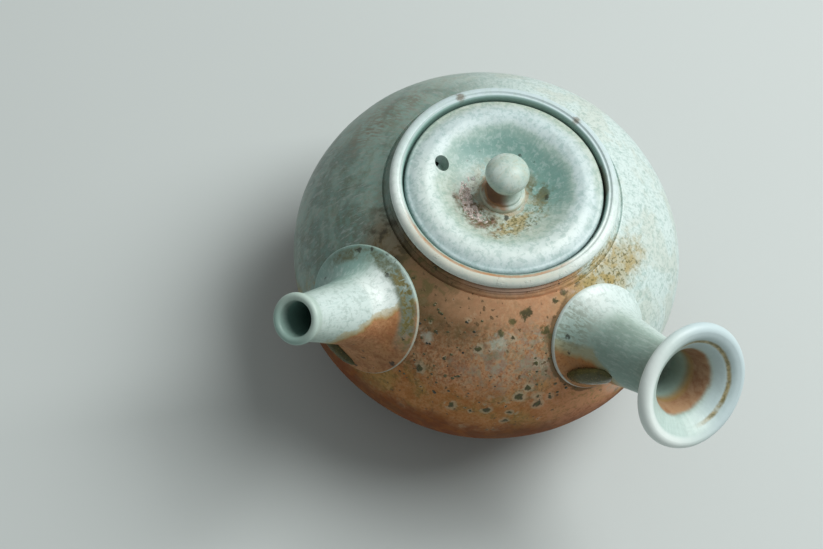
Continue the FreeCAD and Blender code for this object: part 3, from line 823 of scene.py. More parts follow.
def mottle_group():
    """Brush-like fired mottling, from broad clouds to fine cells, each 0 to 1."""
    wiring, (place, width, length_share) = shared_group(
        "fired_mottle", ("Clouds", "Blooms", "Strokes", "Grains", "Cells"),
        Place=MIDDLE, Width=0.03, Along=0.35)
    streaked = wiring.group("round_place", Place=place, Width=width, Along=length_share)[0]
    wiring.give(Clouds=wiring.noise(place, 95.0, 4.0, 0.6, 0.6).band(0.32, 0.68),
                Blooms=wiring.noise(place, 270.0, 6.0, 0.68, 0.3).band(0.38, 0.64),
                Strokes=wiring.noise(streaked, 620.0, 4.0, 0.6, 0.3).band(0.28, 0.72),
                Grains=wiring.noise(place, 1500.0, 3.0, 0.6).band(0.30, 0.70),
                Cells=wiring.noise(place, 780.0, 5.0, 0.7, 0.5).band(0.36, 0.64))


def speck_group():
    """Scattered specks of ash of uneven size, with the pale ring that melts around them.

    Scale is how many cells go in a metre, Size a speck's share of its cell, and Share the
    part of the cells that hold one.
    """
    wiring, (place, scale, size, share) = shared_group(
        "ash_specks", ("Specks", "Rings"), Place=MIDDLE, Scale=420.0, Size=0.35, Share=0.5)
    wander = wiring.node("TexNoise", {"Vector": place, "Scale": 1100.0, "Detail": 3.0})["Color"]
    wander = wiring.vector("SUBTRACT", wander, (0.5, 0.5, 0.5))
    moved = wiring.vector("ADD", place, wiring.stretched(wander, 0.0017))
    cells = wiring.node("TexVoronoi", {"Vector": moved, "Scale": scale, "Randomness": 1.0})
    away = cells["Distance"]
    chance, spread, _ = wiring.parts(cells["Color"])
    kept = chance.band(share, share * 0.93)
    size = size * (0.25 + wiring.math("POWER", spread, 2.5))
    wiring.give(Specks=away.band(size, size * 0.55) * kept,
                Rings=away.band(size * 1.9, size) * kept)


def relief_group():
    """The glaze's own surface: faint throwing rings, ripples and fine grain."""
    wiring, (place, rise, rings) = shared_group(
        "fired_relief", ("Height",), Place=MIDDLE, Rise=0.0, Rings=0.3)
    ring_spacing = 0.0021
    waves = (rise + wiring.noise(place, 60.0, 2.0) * 0.0022) * (2 * math.pi / ring_spacing)
    wiring.give(Height=wiring.math("SINE", waves) * rings * 0.12
                + wiring.noise(place, 210.0, 3.0, 0.5)
                + wiring.noise(place, 2600.0, 3.0, 0.6) * 0.09)


SHARED_GROUPS = {"glaze_patch": patch_group, "round_place": round_group,
                 "fired_mottle": mottle_group, "ash_specks": speck_group,
                 "fired_relief": relief_group}


class Glaze(Wiring):
    """A glaze material, wired from its object coordinates to its Principled shader."""

    def __init__(self, name, colours, roughness=0.42, coat=0.0):
        self.material = bpy.data.materials.new(name)
        self.material.use_nodes = True
        super().__init__(self.material.node_tree, colours)
        self.shader = self.tree.nodes["Principled BSDF"].inputs
        for socket, value in (("Roughness", roughness), ("IOR", 1.42), ("Coat Weight", coat),
                              ("Coat Roughness", 0.30)):
            self.shader[socket].default_value = value
        self.place = self.node("TexCoord")["Object"]
        self.x, self.y, self.z = self.parts(self.place)
        self.flat = self.whole(self.x, self.y)
        self.away = self.vector("LENGTH", self.flat)

    def mottle(self, place, width, length_share):
        """Clouds, blooms, strokes, grains and cells, from the broadest to the finest."""
        found = self.group("fired_mottle", Place=place, Width=width, Along=length_share)
        return [found[number] for number in range(5)]

    def specks(self, scale, size, share):
        """Specks of ash and the rings around them."""
        found = self.group("ash_specks", Place=self.place, Scale=scale, Size=size, Share=share)
        return found["Specks"], found["Rings"]

    def patch(self, centre, reach, soft, ragged, grain):
        """A ragged patch; its centre and reach are millimetres in the pot's frame."""
        return self.group("glaze_patch", Place=self.place, Soft=soft, Ragged=ragged, Grain=grain,
                          Centre=tuple(value / 1000 for value in centre),
                          Reach=tuple(value / 1000 for value in reach))["Mask"]

    def toward(self, *way):
        """How far a point lies along a level way, for the sides of round pieces."""
        return self.vector("DOT_PRODUCT", self.flat, (*way, 0))

    def in_tube(self, seat):
        """A luted tube's own coordinates, its distance from the axis, and all as a vector."""
        shifted = self.vector("SUBTRACT", self.place, tuple(seat.translation))
        over, side, along = [self.vector("DOT_PRODUCT", shifted, tuple(axis))
                             for axis in seat.to_3x3().transposed()]
        away = self.vector("LENGTH", self.whole(over, side))
        return over, side, along, away, self.whole(over, side, along)

    def bump(self, height, strength, depth):
        """Feed the shader's normal."""
        self.feed(self.shader["Normal"], self.node(
            "Bump", {"Height": height, "Strength": strength, "Distance": depth})["Normal"])

    def finish(self, ground, rise, clay, dark=0.0, rings=0.3, coat=0.10):
        """Feed colour, gloss and relief: clay is dry, dark ash is glassy; gives the material."""
        self.feed(self.shader["Base Color"], ground)
        if isinstance(clay, Field):
            glassy = self.math("SUBTRACT", 1.0, clay, clamp=True)
            self.feed(self.shader["Coat Weight"], glassy * coat)
        # Glaze is 0.36 rough, clay twice that, both with a grain; dark ash is smoother.
        rough = 0.36 + clay * 0.36 + self.noise(self.place, 500.0, 3.0) * 0.16
        self.feed(self.shader["Roughness"], self.math("SUBTRACT", rough, dark * 0.25, clamp=True))
        relief = self.group("fired_relief", Place=self.place, Rise=rise, Rings=rings)["Height"]
        self.bump(relief + dark * 0.5, 1.0, 0.00013)
        return self.material

    def melt(self, ground, rough):
        """Feed colour and roughness alone, for melted ash; gives the material."""
        self.feed(self.shader["Base Color"], ground)
        self.feed(self.shader["Roughness"], rough)
        return self.material


# A glaze is a ground and its coats, laid on in order.  A coat is a mask and a colour.
# In a mask, bands of mottling run from 0 to 1, bands of places are metres in the pot's
# frame or in the tube's own, and the last factor is the coat's strength.

FLAME_SIDE = math.radians(-137)
# The frosted side faces the lamp: its pale glaze is partly ash that fell there and partly painted
# light.
LIT_FROST_SIDE = math.radians(-22)


def flame_side(glaze):
    """Bare clay and its fringe, then where the fire glowed, the lower part toasted and laid dark
    partly as painted shade, and the frosted side towards the lamp, partly painted light.
    """
    outward = glaze.vector("NORMALIZE", glaze.flat)

    def facing(side):
        return glaze.vector("DOT_PRODUCT", outward, (math.cos(side), math.sin(side), 0))

    broken = glaze.sway(glaze.place, 130.0, 6.0, 0.66)
    bare = facing(FLAME_SIDE) + glaze.z.band(0.036, 0.004) * 1.55 + broken * 0.32
    rise = glaze.z + broken * 0.016 + glaze.sway(glaze.place, 42.0, 2.0) * 0.012
    frost = facing(LIT_FROST_SIDE) + broken * 0.5
    # The fourth mask darkens the body towards its lower contour: toasted clay, with painted shade
    # and painted warm bounce light.
    return (bare.band(0.62, 0.82), bare.between(0.58, 0.74, 0.14),
            rise.between(0.0350, 0.0395, 0.0065), rise.band(0.0368, 0.0284),
            frost.band(-0.55, 0.65))


def body_material(colours, handle, handle_seat):
    """Ash glaze on the back and right, flashed clay between spout and handle; the glaze is pale
    towards the lamp and grey-green away from it, partly as painted light and shade.
    """
    glaze = Glaze("body_ash_glaze", colours)
    glaze.shader["Specular IOR Level"].default_value = 0.30
    bare, fringe, glow, toast_and_shade, frost = flame_side(glaze)
    clouds, blooms, strokes, grains, cells = glaze.mottle(glaze.place, 0.09, 0.5)
    big_specks, big_rings = glaze.specks(330.0, 0.33, 0.48)
    small_specks = glaze.specks(760.0, 0.36, 0.55)[0]
    # Patches: centre and reach in millimetres, softness, raggedness and scale of the ragging.
    pale, dusk, smoke, left, behind, right, corner, neck, stain_and_crevice_shade = [glaze.patch(*row) for row in (
        ((-19, -31, 50), (14, 9, 7), 0.6, 1.0, 300.0),
        ((-30, -13, 56), (9, 12, 7), 0.8, 0.5, 200.0),
        ((-27, -4, 57), (8, 9, 6), 0.6, 0.7, 260.0),
        ((-28.5, 6.5, 57.5), (6, 6.5, 4.5), 0.7, 0.6, 330.0),
        ((-8, 33.5, 53.5), (14, 5, 5.5), 0.8, 0.9, 260.0),
        ((8.5, -29.0, 57.0), (8.5, 5.0, 5), 0.6, 0.9, 420.0),
        # The corner patch is painted light.
        ((-6, -44, 37.5), (13, 9, 9), 0.7, 0.4, 200.0),
        ((-16, -21, 60.8), (9, 8, 1.3), 0.5, 0.4, 300.0),
        # This patch by the handle flange is partly a stain and partly painted crevice shade.
        ((-13.2, -32.8, 52.6), (1.3, 1.6, 4.0), 0.6, 0.6, 500.0))]
    drops = Field.most(*[glaze.patch(*row, 0.5, 2.2, 900.0) for row in (
        ((-13.3, -31.5, 54.3), (1.0, 1.2, 2.2)), ((-15.2, -26.1, 57.3), (1.5, 1.0, 1.0)),
        ((-18.5, -25.8, 56.3), (0.6, 0.7, 1.0)), ((-21.9, -25.9, 54.6), (0.5, 0.7, 1.5)),
        ((-31.8, -13.6, 53.9), (0.6, 0.6, 0.6)))])
    pale_drops = Field.most(*[glaze.patch(*row, 0.8, 2.6, 700.0) for row in (
        ((-23.3, -26.8, 53.2), (1.9, 1.2, 1.4)), ((-34, -15.4, 51.1), (1.0, 1.2, 1.0)))])
    rim_spots = [glaze.patch(*row) for row in (
        ((6.5, 23.6, 62.8), (1.0, 1.0, 1.0), 0.5, 1.0, 1500.0),
        ((24.3, 3.0, 62.8), (0.9, 0.9, 0.9), 0.5, 1.0, 1500.0),
        ((19.0, -13.4, 61.0), (4, 6, 2), 0.4, 0.8, 500.0))]

    # Shade is the side away from the lamp; the coats laid on it below are partly glaze colour and
    # partly painted shade.
    shade = 1.0 - frost
    ash = glaze.paint(
        "mint",
        (frost * 0.85, "frost"),
        (shade * 0.88, "moss"),
        (clouds * shade * 0.24, "mint"),
        (clouds.band(0.6, 0.1) * shade * 0.32, "char"),
        (strokes.band(0.5, 1.0) * 0.30, "frost"),
        (strokes.band(0.5, 0.0) * 0.28, "teal"),
        (blooms.band(0.1, 1.2) * shade * 0.34, "olive"),
        (strokes.band(0.45, 1.1) * clouds * shade * 0.55, "umber"),
        (cells.band(0.3, 1.2) * shade * 0.22, "teal"),
        (clouds.band(0.3, 0.9) * frost * 0.26, "cream"),
        (cells.band(0.6, 1.1) * blooms * frost * 0.30, "moss"),
        (cells.band(0.5, 1.0) * 0.26, "teal"),
        (grains.band(0.5, 1.0) * 0.20, "moss"))
    front = bare.without(toast_and_shade)
    haze = front.without(clouds.band(0.75, 0.35))
    clay = glaze.paint(
        "salmon",
        (clouds * 0.14, "bare"),
        (clouds.band(0.8, 0.0) * 0.34, "peach"),
        (strokes.band(0.4, 1.2) * 0.22, "cream"),
        (grains.band(0.45, 0.1) * 0.45, "rust"),
        (grains.band(0.6, 1.0) * 0.30, "cream"),
        (blooms.band(0.3, 1.0) * 0.50, "rust"),
        (cells.band(0.4, 1.0) * 0.40, "umber"),
        (glow * 0.50, "orange"),
        (glow * clouds.band(0.4, 1.0) * 0.4, "ochre"),
        # Dark rust low down is toasted clay, and partly painted shade and painted warm bounce
        # light.
        (toast_and_shade * 0.94, "rust"),
        (toast_and_shade * blooms.band(0.3, 1.1) * 0.26, "orange"),
        (toast_and_shade * clouds.band(0.4, 1.0) * 0.30, "umber"),
        (pale * cells.band(0.3, 0.9) * 0.34, "cream"),
        (pale * blooms.band(0.45, 0.9) * 0.20, "mint"),
        (haze * cells.band(0.35, 1.0) * 0.40, "olive"),
        (dusk * 0.75, "umber"),
        (big_rings * front * 0.45, "cream"))

    fringe = fringe * blooms.band(0.1, 0.7)
    collar = glaze.z.band(0.054, 0.0575) * bare
    side, along, from_axis = glaze.in_tube(handle_seat)[1:4]
    # Umber along the handle flange's edge: glaze gathered in the crevice, and painted crevice
    # shade.
    join_stain_and_shade = (from_axis - blooms * 0.0007).between(
        handle.flange_radius - 0.0006, handle.flange_radius + 0.0002, 0.0004)
    join_stain_and_shade = join_stain_and_shade * side.band(0.001, 0.006) * along.band(0.006, 0.004)
    big = big_specks * (front + 0.12)
    small = small_specks * (front + 0.06)
    away = glaze.away
    rim = glaze.z.band(0.0609, 0.0616) * away.band(0.0231, 0.0234)
    inner_line = (away + blooms * 0.0003).between(0.0239, 0.0243, 0.0004)
    inner_line = inner_line * glaze.z.band(0.0614, 0.0622)
    inner_wall = away.band(0.0239, 0.0234) * glaze.z.band(0.050, 0.056)
    facing = glaze.toward(-0.82, -0.57)
    near_side = facing.band(0.012, 0.021)
    ground = glaze.paint(
        ash,
        (bare, clay),
        (fringe * 0.70, "ochre"),
        (fringe * grains.band(0.6, 0.9) * 0.7, "olive"),
        # Bright peach on the lower corner by the handle is painted light.
        (corner * cells.band(1.6, 0.2) * 0.80, "peach"),
        (collar * 0.40, "peach"),
        (collar * 0.30, "bare"),
        (neck * 0.30, "blush"),
        # These two umber marks are partly stain and partly painted crevice shade.
        (stain_and_crevice_shade * 0.70, "umber"),
        (join_stain_and_shade * 0.80, "umber"),
        (pale_drops * 0.42, "mint"),
        (drops * 0.85, "olive"),
        (drops * blooms * 0.60, "char"),
        (smoke * 0.72, "umber"),
        (smoke * blooms.band(0.3, 0.8) * 0.6, "olive"),
        (left * 0.75, "umber"),
        (left * blooms.band(0.0, 1.1) * 0.85, "char"),
        (behind * strokes.band(0.1, 1.0) * 0.60, "umber"),
        (right * 0.55, "ochre"),
        (right * blooms.band(0.25, 0.8) * 0.60, "ochre"),
        (right * grains.band(0.55, 0.9) * 0.75, "olive"),
        (small * 0.80, "umber"),
        (big * 0.80, "char"),
        (big_specks * front * grains * 0.90, "olive"),
        (rim * 0.92, "frost"),
        (rim * facing.band(0.006, -0.020) * 0.55, "sky"),
        # Milk on the rim's left and near parts is a painted highlight.
        (rim * glaze.x.band(-0.012, -0.024) * 0.70, "milk"),
        (rim * glaze.y.band(-0.016, -0.024) * 0.60, "milk"),
        (rim * near_side * away.band(0.0268, 0.0250) * 0.55, "cream"),
        (rim * cells.band(0.4, 0.95) * 0.35, "mint"),
        (inner_line * near_side * 0.62, "salmon"),
        (inner_line * near_side * blooms * 0.60, "orange"),
        (inner_wall * 0.75, "teal"),
        (rim_spots[0] * 0.7, "umber"),
        (rim_spots[1] * 0.7, "umber"),
        (rim_spots[2] * away.band(0.0240, 0.0236) * 0.7, "umber"))
    dark = glaze.math("ADD", big, small, clamp=True)
    return glaze.finish(ground, glaze.z, bare, dark, 0.3, 0.2)


def spout_material(colours, seat):
    """White over the top, partly a painted highlight, flashed clay below, and spotted ash around
    the flange.
    """
    glaze = Glaze("spout_ash_glaze", colours)
    over, side, along, away, own = glaze.in_tube(seat)
    clouds, blooms, strokes, grains, cells = glaze.mottle(own, 0.022, 0.6)
    wobble = glaze.sway(glaze.place, 170.0, 5.0, 0.6) * 0.006
    line = over * 0.45 + side * 0.90 + along * 0.26 + wobble + 0.0018
    bare = line.band(0.0000, -0.0014)
    fringe = line.between(-0.0010, 0.0001, 0.0006)
    top = over.band(-0.002, 0.005) * side.band(0.006, -0.001)
    ash = glaze.paint(
        "mint",
        (top * 0.78, "frost"),
        # The milk band along the top is a painted highlight.
        (top * along.between(0.0010, 0.0060, 0.0020) * 0.6, "milk"),
        (side.band(0.0015, 0.0075) * 0.8, "teal"),
        (strokes.band(0.5, 1.0) * 0.3, "frost"),
        (strokes.band(0.45, 0.0) * 0.25, "teal"),
        (cells.band(0.5, 1.0) * 0.28, "moss"),
        (away.band(0.0118, 0.0135) * 0.45, "teal"))
    clay = glaze.paint(
        "salmon",
        (strokes.band(0.4, 1.0) * 0.35, "peach"),
        (clouds * 0.25, "orange"),
        (grains.band(0.6, 0.0) * 0.35, "rust"),
        (blooms.band(0.2, 1.1) * 0.40, "rust"))
    olive_arc = (away.between(0.0120, 0.0137, 0.0014) * over.band(-0.001, 0.005)
                 * blooms.band(-0.5, 0.8))
    ochre_arc = (away.between(0.0124, 0.0138, 0.0008) * side.band(0.001, -0.005)
                 * over.band(0.000, 0.006) * cells.band(0.3, 0.7))
    spotted = (away.band(0.0095, 0.0120) * 0.9).most(bare) * along.band(0.012, 0.006)
    spots = glaze.specks(520.0, 0.42, 0.55)[0] * spotted
    lip = along.band(0.0238, 0.0252)
    bore = away.band(0.0044, 0.0039) * along.band(0.0256, 0.0235)
    ground = glaze.paint(
        ash,
        (bare, clay),
        (fringe * 0.55, "ochre"),
        (olive_arc * 0.85, "moss"),
        (olive_arc * cells.band(-0.3, 0.9) * 0.75, "olive"),
        (ochre_arc * 0.75, "ochre"),
        (ochre_arc * cells.band(0.2, 0.8) * 0.8, "olive"),
        (spots * 0.85, "char"),
        (away.band(0.01455, 0.01470) * 0.55, "mint"),
        (lip * 0.8, "mint"),
        (lip * over.band(0.002, -0.004) * 0.6, "teal"),
        (bore * 0.85, "teal"))
    return glaze.finish(ground, along, bare, spots)


def handle_material(colours, seat):
    """Mint over the flange, grey-teal down the tube, frosted glaze on the bell and clay below; the
    grey-teal side away from the lamp is partly painted shade, and the pale side towards it, the
    root's top and the bell's lip carry painted light.
    """
    glaze = Glaze("handle_ash_glaze", colours)
    over, side, along, away, own = glaze.in_tube(seat)
    clouds, blooms, strokes, grains, cells = glaze.mottle(own, 0.022, 0.6)
    wobble = glaze.sway(glaze.place, 170.0, 5.0, 0.6) * 0.005
    low = over * -0.8 + side * 0.5 + wobble
    line = glaze.math("MINIMUM", low + along * -0.70 + 0.0033, low - 0.0021)
    outside = along.band(0.0300, 0.0280)
    bare = line.band(-0.0008, 0.0018) * outside
    fringe = line.between(-0.0012, 0.0006, 0.0014) * outside
    root = along.band(0.0095, 0.0025)
    top = over.band(-0.001, 0.006) * side.band(0.005, -0.003) * root
    # The tube's side away from the lamp, laid grey-teal and umber below, partly as painted shade.
    tube = (along.band(0.0045, 0.0115) * along.band(0.0315, 0.0280)
            * side.band(-0.0045, 0.0005))
    edge = away.band(0.01205, 0.01225) * along.band(0.004, 0.002)
    lip = away.band(0.0108, 0.0118) * along.band(0.0300, 0.0312)
    funnel = along.band(0.0295, 0.0310) * away.band(0.0118, 0.0112)
    inside = (away - along * 0.345).band(-0.0018, -0.0021)
    throat = (along + wobble * 0.35).between(0.0245, 0.0292, 0.0012) * inside
    bore = along.band(0.0256, 0.0225) * inside
    ash = glaze.paint(
        "mint",
        (top * 0.9, "frost"),
        # Milk on the root's top is a painted highlight.
        (over.band(0.006, 0.011) * root * 0.6, "milk"),
        # Pale towards the lamp and grey-teal with umber away from it: partly glaze, partly painted
        # light and painted shade.
        (side.band(-0.001, -0.006) * outside * 0.6, "frost"),
        (tube * 0.50, "teal"),
        (tube * 0.25, "umber"),
        (side.band(-0.001, 0.006) * 0.35, "teal"),
        (strokes.band(0.5, 1.0) * 0.22, "frost"),
        (strokes.band(0.45, 0.0) * 0.22, "teal"),
        (cells.band(0.5, 1.0) * 0.25, "moss"),
        (funnel * 0.35, "frost"),
        (lip * 0.85, "frost"),
        # Milk on the bell's lip is a painted highlight.
        (lip * side.band(0.001, 0.010) * 0.7, "milk"),
        (glaze.math("ADD", lip, funnel, clamp=True) * side.band(0.004, -0.006) * 0.6, "sky"))
    clay = glaze.paint(
        "salmon",
        (clouds * 0.5, "orange"),
        (grains.band(0.5, 0.0) * 0.35, "rust"))
    streaks = (root * side.band(-0.001, 0.005) * over.band(0.001, 0.005)
               * strokes.band(0.35, 0.75))
    bell_line = (away + wobble * 0.12).between(0.00985, 0.01010, 0.00045)
    bell_line = (bell_line * along.band(0.0305, 0.0315) * side.band(0.003, -0.004)
                 * blooms.band(-0.5, 0.5))
    spots = glaze.specks(480.0, 0.45, 0.5)[0] * root * side.band(0.001, 0.006)
    ground = glaze.paint(
        ash,
        (bare, clay),
        (fringe * 0.5, "ochre"),
        (streaks * 0.46, "olive"),
        (spots * 0.8, "char"),
        (edge * side.band(-0.004, 0.004) * 0.7, "frost"),
        (throat * 0.85, "salmon"),
        (throat * blooms * 0.55, "rust"),
        (along.between(0.0238, 0.0252, 0.0012) * inside * 0.5, "ochre"),
        (bore * 0.6, "teal"),
        (bore * 0.5, "mint"),
        (bell_line * 0.80, "ochre"),
        (bell_line * cells * 0.80, "olive"))
    return glaze.finish(ground, along, bare, spots, 0.45)


def lid_material(colours, lid, seat):
    """Frosted border whose crest is partly a painted highlight, a green glassy dish, and rough
    toasted ash around the knob.
    """
    glaze = Glaze("lid_ash_glaze", colours)
    _, blooms, strokes, grains, cells = glaze.mottle(glaze.place, 0.034, 0.55)
    radius = glaze.away + glaze.sway(glaze.place, 140.0, 4.0, 0.6) * 0.005
    crest = radius.between(lid.crest_radius - 0.0012, lid.crest_radius + 0.0016, 0.0022)
    dish = radius.band(lid.crest_radius - 0.001, lid.crest_radius - 0.006)
    deep = glaze.toward(0.78, 0.38).band(-0.007, 0.005)
    facing = glaze.toward(-0.82, -0.57)
    border = glaze.away.band(lid.crest_radius, lid.radius)
    foot = lid.knob_foot_radius
    ring = radius.band(foot + 0.0050, foot + 0.0010) * blooms.band(0.15, 0.75)
    level = seat * 1000
    right, front, left = [glaze.patch((x, y, level), *row) for x, y, *row in (
        (6.6, -5.0, (2.2, 4.4, 4), 0.55, 1.0, 450.0),
        (-3.0, -8.6, (7.5, 2.8, 4), 0.5, 1.1, 520.0),
        (-8.8, -1.0, (2.8, 6.0, 4), 0.45, 1.0, 520.0))]
    spots = glaze.specks(560.0, 0.40, 0.5)[0] * radius.band(0.0150, 0.0085)
    under = glaze.z.band(seat - 0.0018, seat - 0.0024)
    ground = glaze.paint(
        "mint",
        (dish * deep * 0.98, "teal"),
        ((strokes.band(0.5, 1.0) * 0.30).without(dish * deep * 0.8), "frost"),
        (strokes.band(0.5, 0.0) * 0.30, "teal"),
        # The crest's pale ring is partly a painted highlight; the milk on its near part is a
        # painted highlight.
        (crest * 0.60, "frost"),
        (crest.without(deep) * 0.30, "milk"),
        (crest * deep * 0.45, "sky"),
        (dish.without(deep) * 0.35, "cream"),
        (border * facing.band(-0.012, 0.010) * 0.70, "sky"),
        (border * facing.band(0.000, -0.016) * 0.35, "cream"),
        (blooms.band(0.5, 1.0) * 0.14, "moss"),
        (cells.band(0.4, 1.1) * 0.40, "teal"),
        (cells.band(0.5, 0.0) * 0.25, "frost"),
        (ring * 0.50, "cream"),
        (ring * grains.band(0.4, 0.8) * 0.55, "olive"),
        (right * blooms.band(0.05, 0.6) * 0.80, "olive"),
        (front * blooms.band(0.25, 0.7) * 0.65, "ochre"),
        (front * grains.band(0.4, 0.8) * 0.70, "olive"),
        (left * blooms.band(0.10, 0.55) * 0.80, "rust"),
        (left * grains.band(0.35, 0.75) * 0.80, "olive"),
        (radius.between(foot - 0.0002, foot + 0.0004, 0.0003) * 0.25, "orange"),
        (spots * 0.80, "char"),
        (under * 0.9, "bare"))
    return glaze.finish(ground, glaze.away, under, spots, 0.2, 0.25)


def knob_material(colours, base):
    """Pale grey-green ball, toasted waist and a pale foot ring; the waist's darkness under the
    ball is partly painted shade.
    """
    glaze = Glaze("knob_ash_glaze", colours)
    clouds, _, strokes, grains, _ = glaze.mottle(glaze.place, 0.005, 0.5)
    height = glaze.z - base + glaze.sway(glaze.place, 300.0) * 0.0012
    waist = height.between(0.0016, 0.0042, 0.0010)
    toasted = glaze.toward(-0.965, 0.26).band(0.0000, 0.0026)
    ground = glaze.paint(
        "mint",
        (strokes.band(0.35, 1.0) * 0.35, "cream"),
        (clouds.band(0.2, 0.9) * 0.34, "milk"),
        (grains.band(0.5, 0.0) * 0.30, "teal"),
        # The waist is laid moss, and rust on its side away from the lamp: partly glaze and toasted
        # clay, partly painted shade.
        (waist * 0.45, "moss"),
        (waist * toasted * 0.90, "rust"),
        (waist * toasted * clouds * 0.60, "umber"),
        (height.between(0.0012, 0.0016, 0.0003) * toasted * 0.60, "salmon"),
        (height.band(0.0012, 0.0008) * 0.6, "cream"))
    return glaze.finish(ground, height, waist * 0.5)


def clay_material(colours):
    """Unglazed clay inside the pot, with the steam's faint bloom."""
    glaze = Glaze("bare_clay", colours)
    clouds, _, _, grains, _ = glaze.mottle(glaze.place, 0.012, 0.4)
    ground = glaze.paint(
        "bare",
        (clouds * 0.4, "salmon"),
        (grains.band(0.55, 1.0) * 0.35, "rust"))
    return glaze.finish(ground, glaze.z, 1.0, rings=0.2)


class TeapotAshSizes(bpy.types.PropertyGroup):
    """Glass pools, the crust on the lid and the specks, where the ash fell or ran."""

    pool_length: length("Pool length", "Length of the glass pool under the handle", 0.0148)
    pool_width: length("Pool width", "Width of that pool", 0.0050)
    pool_depth: length("Pool depth", "Thickness of the pools", 0.0032)
    sliver_length: length("Sliver length", "Length of the pool under the spout", 0.0108)
    sliver_width: length("Sliver width", "Width of that pool", 0.0034)
    crust_radius: length("Crust radius", "Middle radius of the crust round the knob", 0.0087)
    crust_width: length("Crust width", "Width of the crust", 0.0040)
    crust_height: length("Crust height", "Height of the crust", 0.0016)
    crust_start: turn("Crust start", "Azimuth at which the crust starts", 112)
    crust_end: turn("Crust end", "Azimuth at which it ends", 214)
    speck_count: bpy.props.IntProperty(name="Speck count", description="Number of raised specks",
                                       default=150, min=0)
    speck_size: length("Speck size", "Radius of a usual raised speck", 0.00024)


# The scatter of the raised specks always starts from this seed.
SPECK_SEED = 7


def glass_pool(name, middle, long_way, normal, sizes, material, rows=28, columns=56):
    """A lens of ash glass let into the wall; its sizes are length, width and depth."""
    normal = Vector(normal).normalized()
    long_way = Vector(long_way)
    long_way = (long_way - normal * long_way.dot(normal)).normalized()
    axes = np.array((long_way, normal.cross(long_way), normal))
    points = [(0, 0, -1)]
    for row in range(1, rows):
        fall = math.pi * row / rows - math.pi / 2
        for column in range(columns):
            turned_by = 2 * math.pi * column / columns
            across, along = math.cos(turned_by), math.sin(turned_by)
            # The outline wanders by up to a tenth.
            ragged = 1 + 0.10 * noise.noise((across * 1.7, along * 1.7, normal.x * 5))
            points.append((math.cos(fall) * across * ragged, math.cos(fall) * along * ragged,
                           math.sin(fall)))
    points.append((0, 0, 1))
    points = (np.array(points) * np.array(sizes) / 2) @ axes + np.array(middle)
    return piece_from(name, points, lathe_faces(rows - 1, columns), material)


def dish_height(body, lid, across):
    """Height of the lid's dish at distances from its axis."""
    profile = lid_profile(body, lid)
    top = profile[int(np.argmax(profile[:, 1])):]
    return seat_height(body) + np.interp(across, top[::-1, 0], top[::-1, 1])


def crust_patch(body, lid, ash, material, rows=44, columns=150):
    """A lumpy crescent of half-melted ash on the dish, closed below the lid's surface."""
    # The crescent swells in its middle, its edges wander with the noise round the knob, and
    # a finer noise makes lumps on its domed top.
    stations = np.linspace(0, lid.radius, 400)
    heights = dish_height(body, lid, stations)
    sink = -0.30 * ash.crust_height
    points = []
    for over in (True, False):
        for across_share in [row / (rows - 1) * 2 - 1 for row in range(rows)]:
            for turned_by in np.linspace(ash.crust_start, ash.crust_end, columns):
                along_share = (turned_by - ash.crust_start) / (ash.crust_end - ash.crust_start)
                swell = math.sin(math.pi * along_share) ** 0.6
                ragged = noise.noise((turned_by * 3.1, 0.5, 4.0)) * 0.25
                half = ash.crust_width / 2 * swell * (1 + ragged)
                across = ash.crust_radius + across_share * half + ragged * ash.crust_width * 0.4
                place = Vector((across * math.cos(turned_by), across * math.sin(turned_by), 0))
                lumps = noise.fractal(place * 900, 0.7, 2.2, 4)
                dome = max(0.0, 1 - across_share ** 2) ** 0.7 * swell
                height = ash.crust_height * dome * max(0.12, 0.55 + 0.75 * lumps)
                rise = sink + height if over else 1.5 * sink
                points.append((place.x, place.y, np.interp(across, stations, heights) + rise))
    count = rows * columns
    faces = grid_faces(rows, columns)
    faces += [tuple(count + corner for corner in face[::-1]) for face in faces]
    ring = list(range(columns)) + [row * columns + columns - 1 for row in range(1, rows)]
    ring += [count - 1 - column for column in range(1, columns)]
    ring += [row * columns for row in range(rows - 2, 0, -1)]
    faces += [(first, count + first, count + second, second)
              for first, second in zip(ring, ring[1:] + ring[:1])]
    return piece_from("lid_crust", points, faces, material)


def front_patch(body, first=-168, last=-100, low=0.040, high=0.0560, rows=24, columns=60):
    """A sheet on the body's wall between spout and handle, for the specks to stand on."""
    mesh = bpy.data.meshes.new("speck_ground")
    points = []
    for height in np.linspace(low, high, rows):
        across = body.belly_radius * math.sqrt(1 - ((height - body.belly_height)
                                                    / body.crown_rise) ** 2)
        for turned_by in np.radians(np.linspace(first, last, columns)):
            points.append((across * math.cos(turned_by), across * math.sin(turned_by), height))
    mesh.from_pydata(points, [], grid_faces(rows, columns))
    return mesh


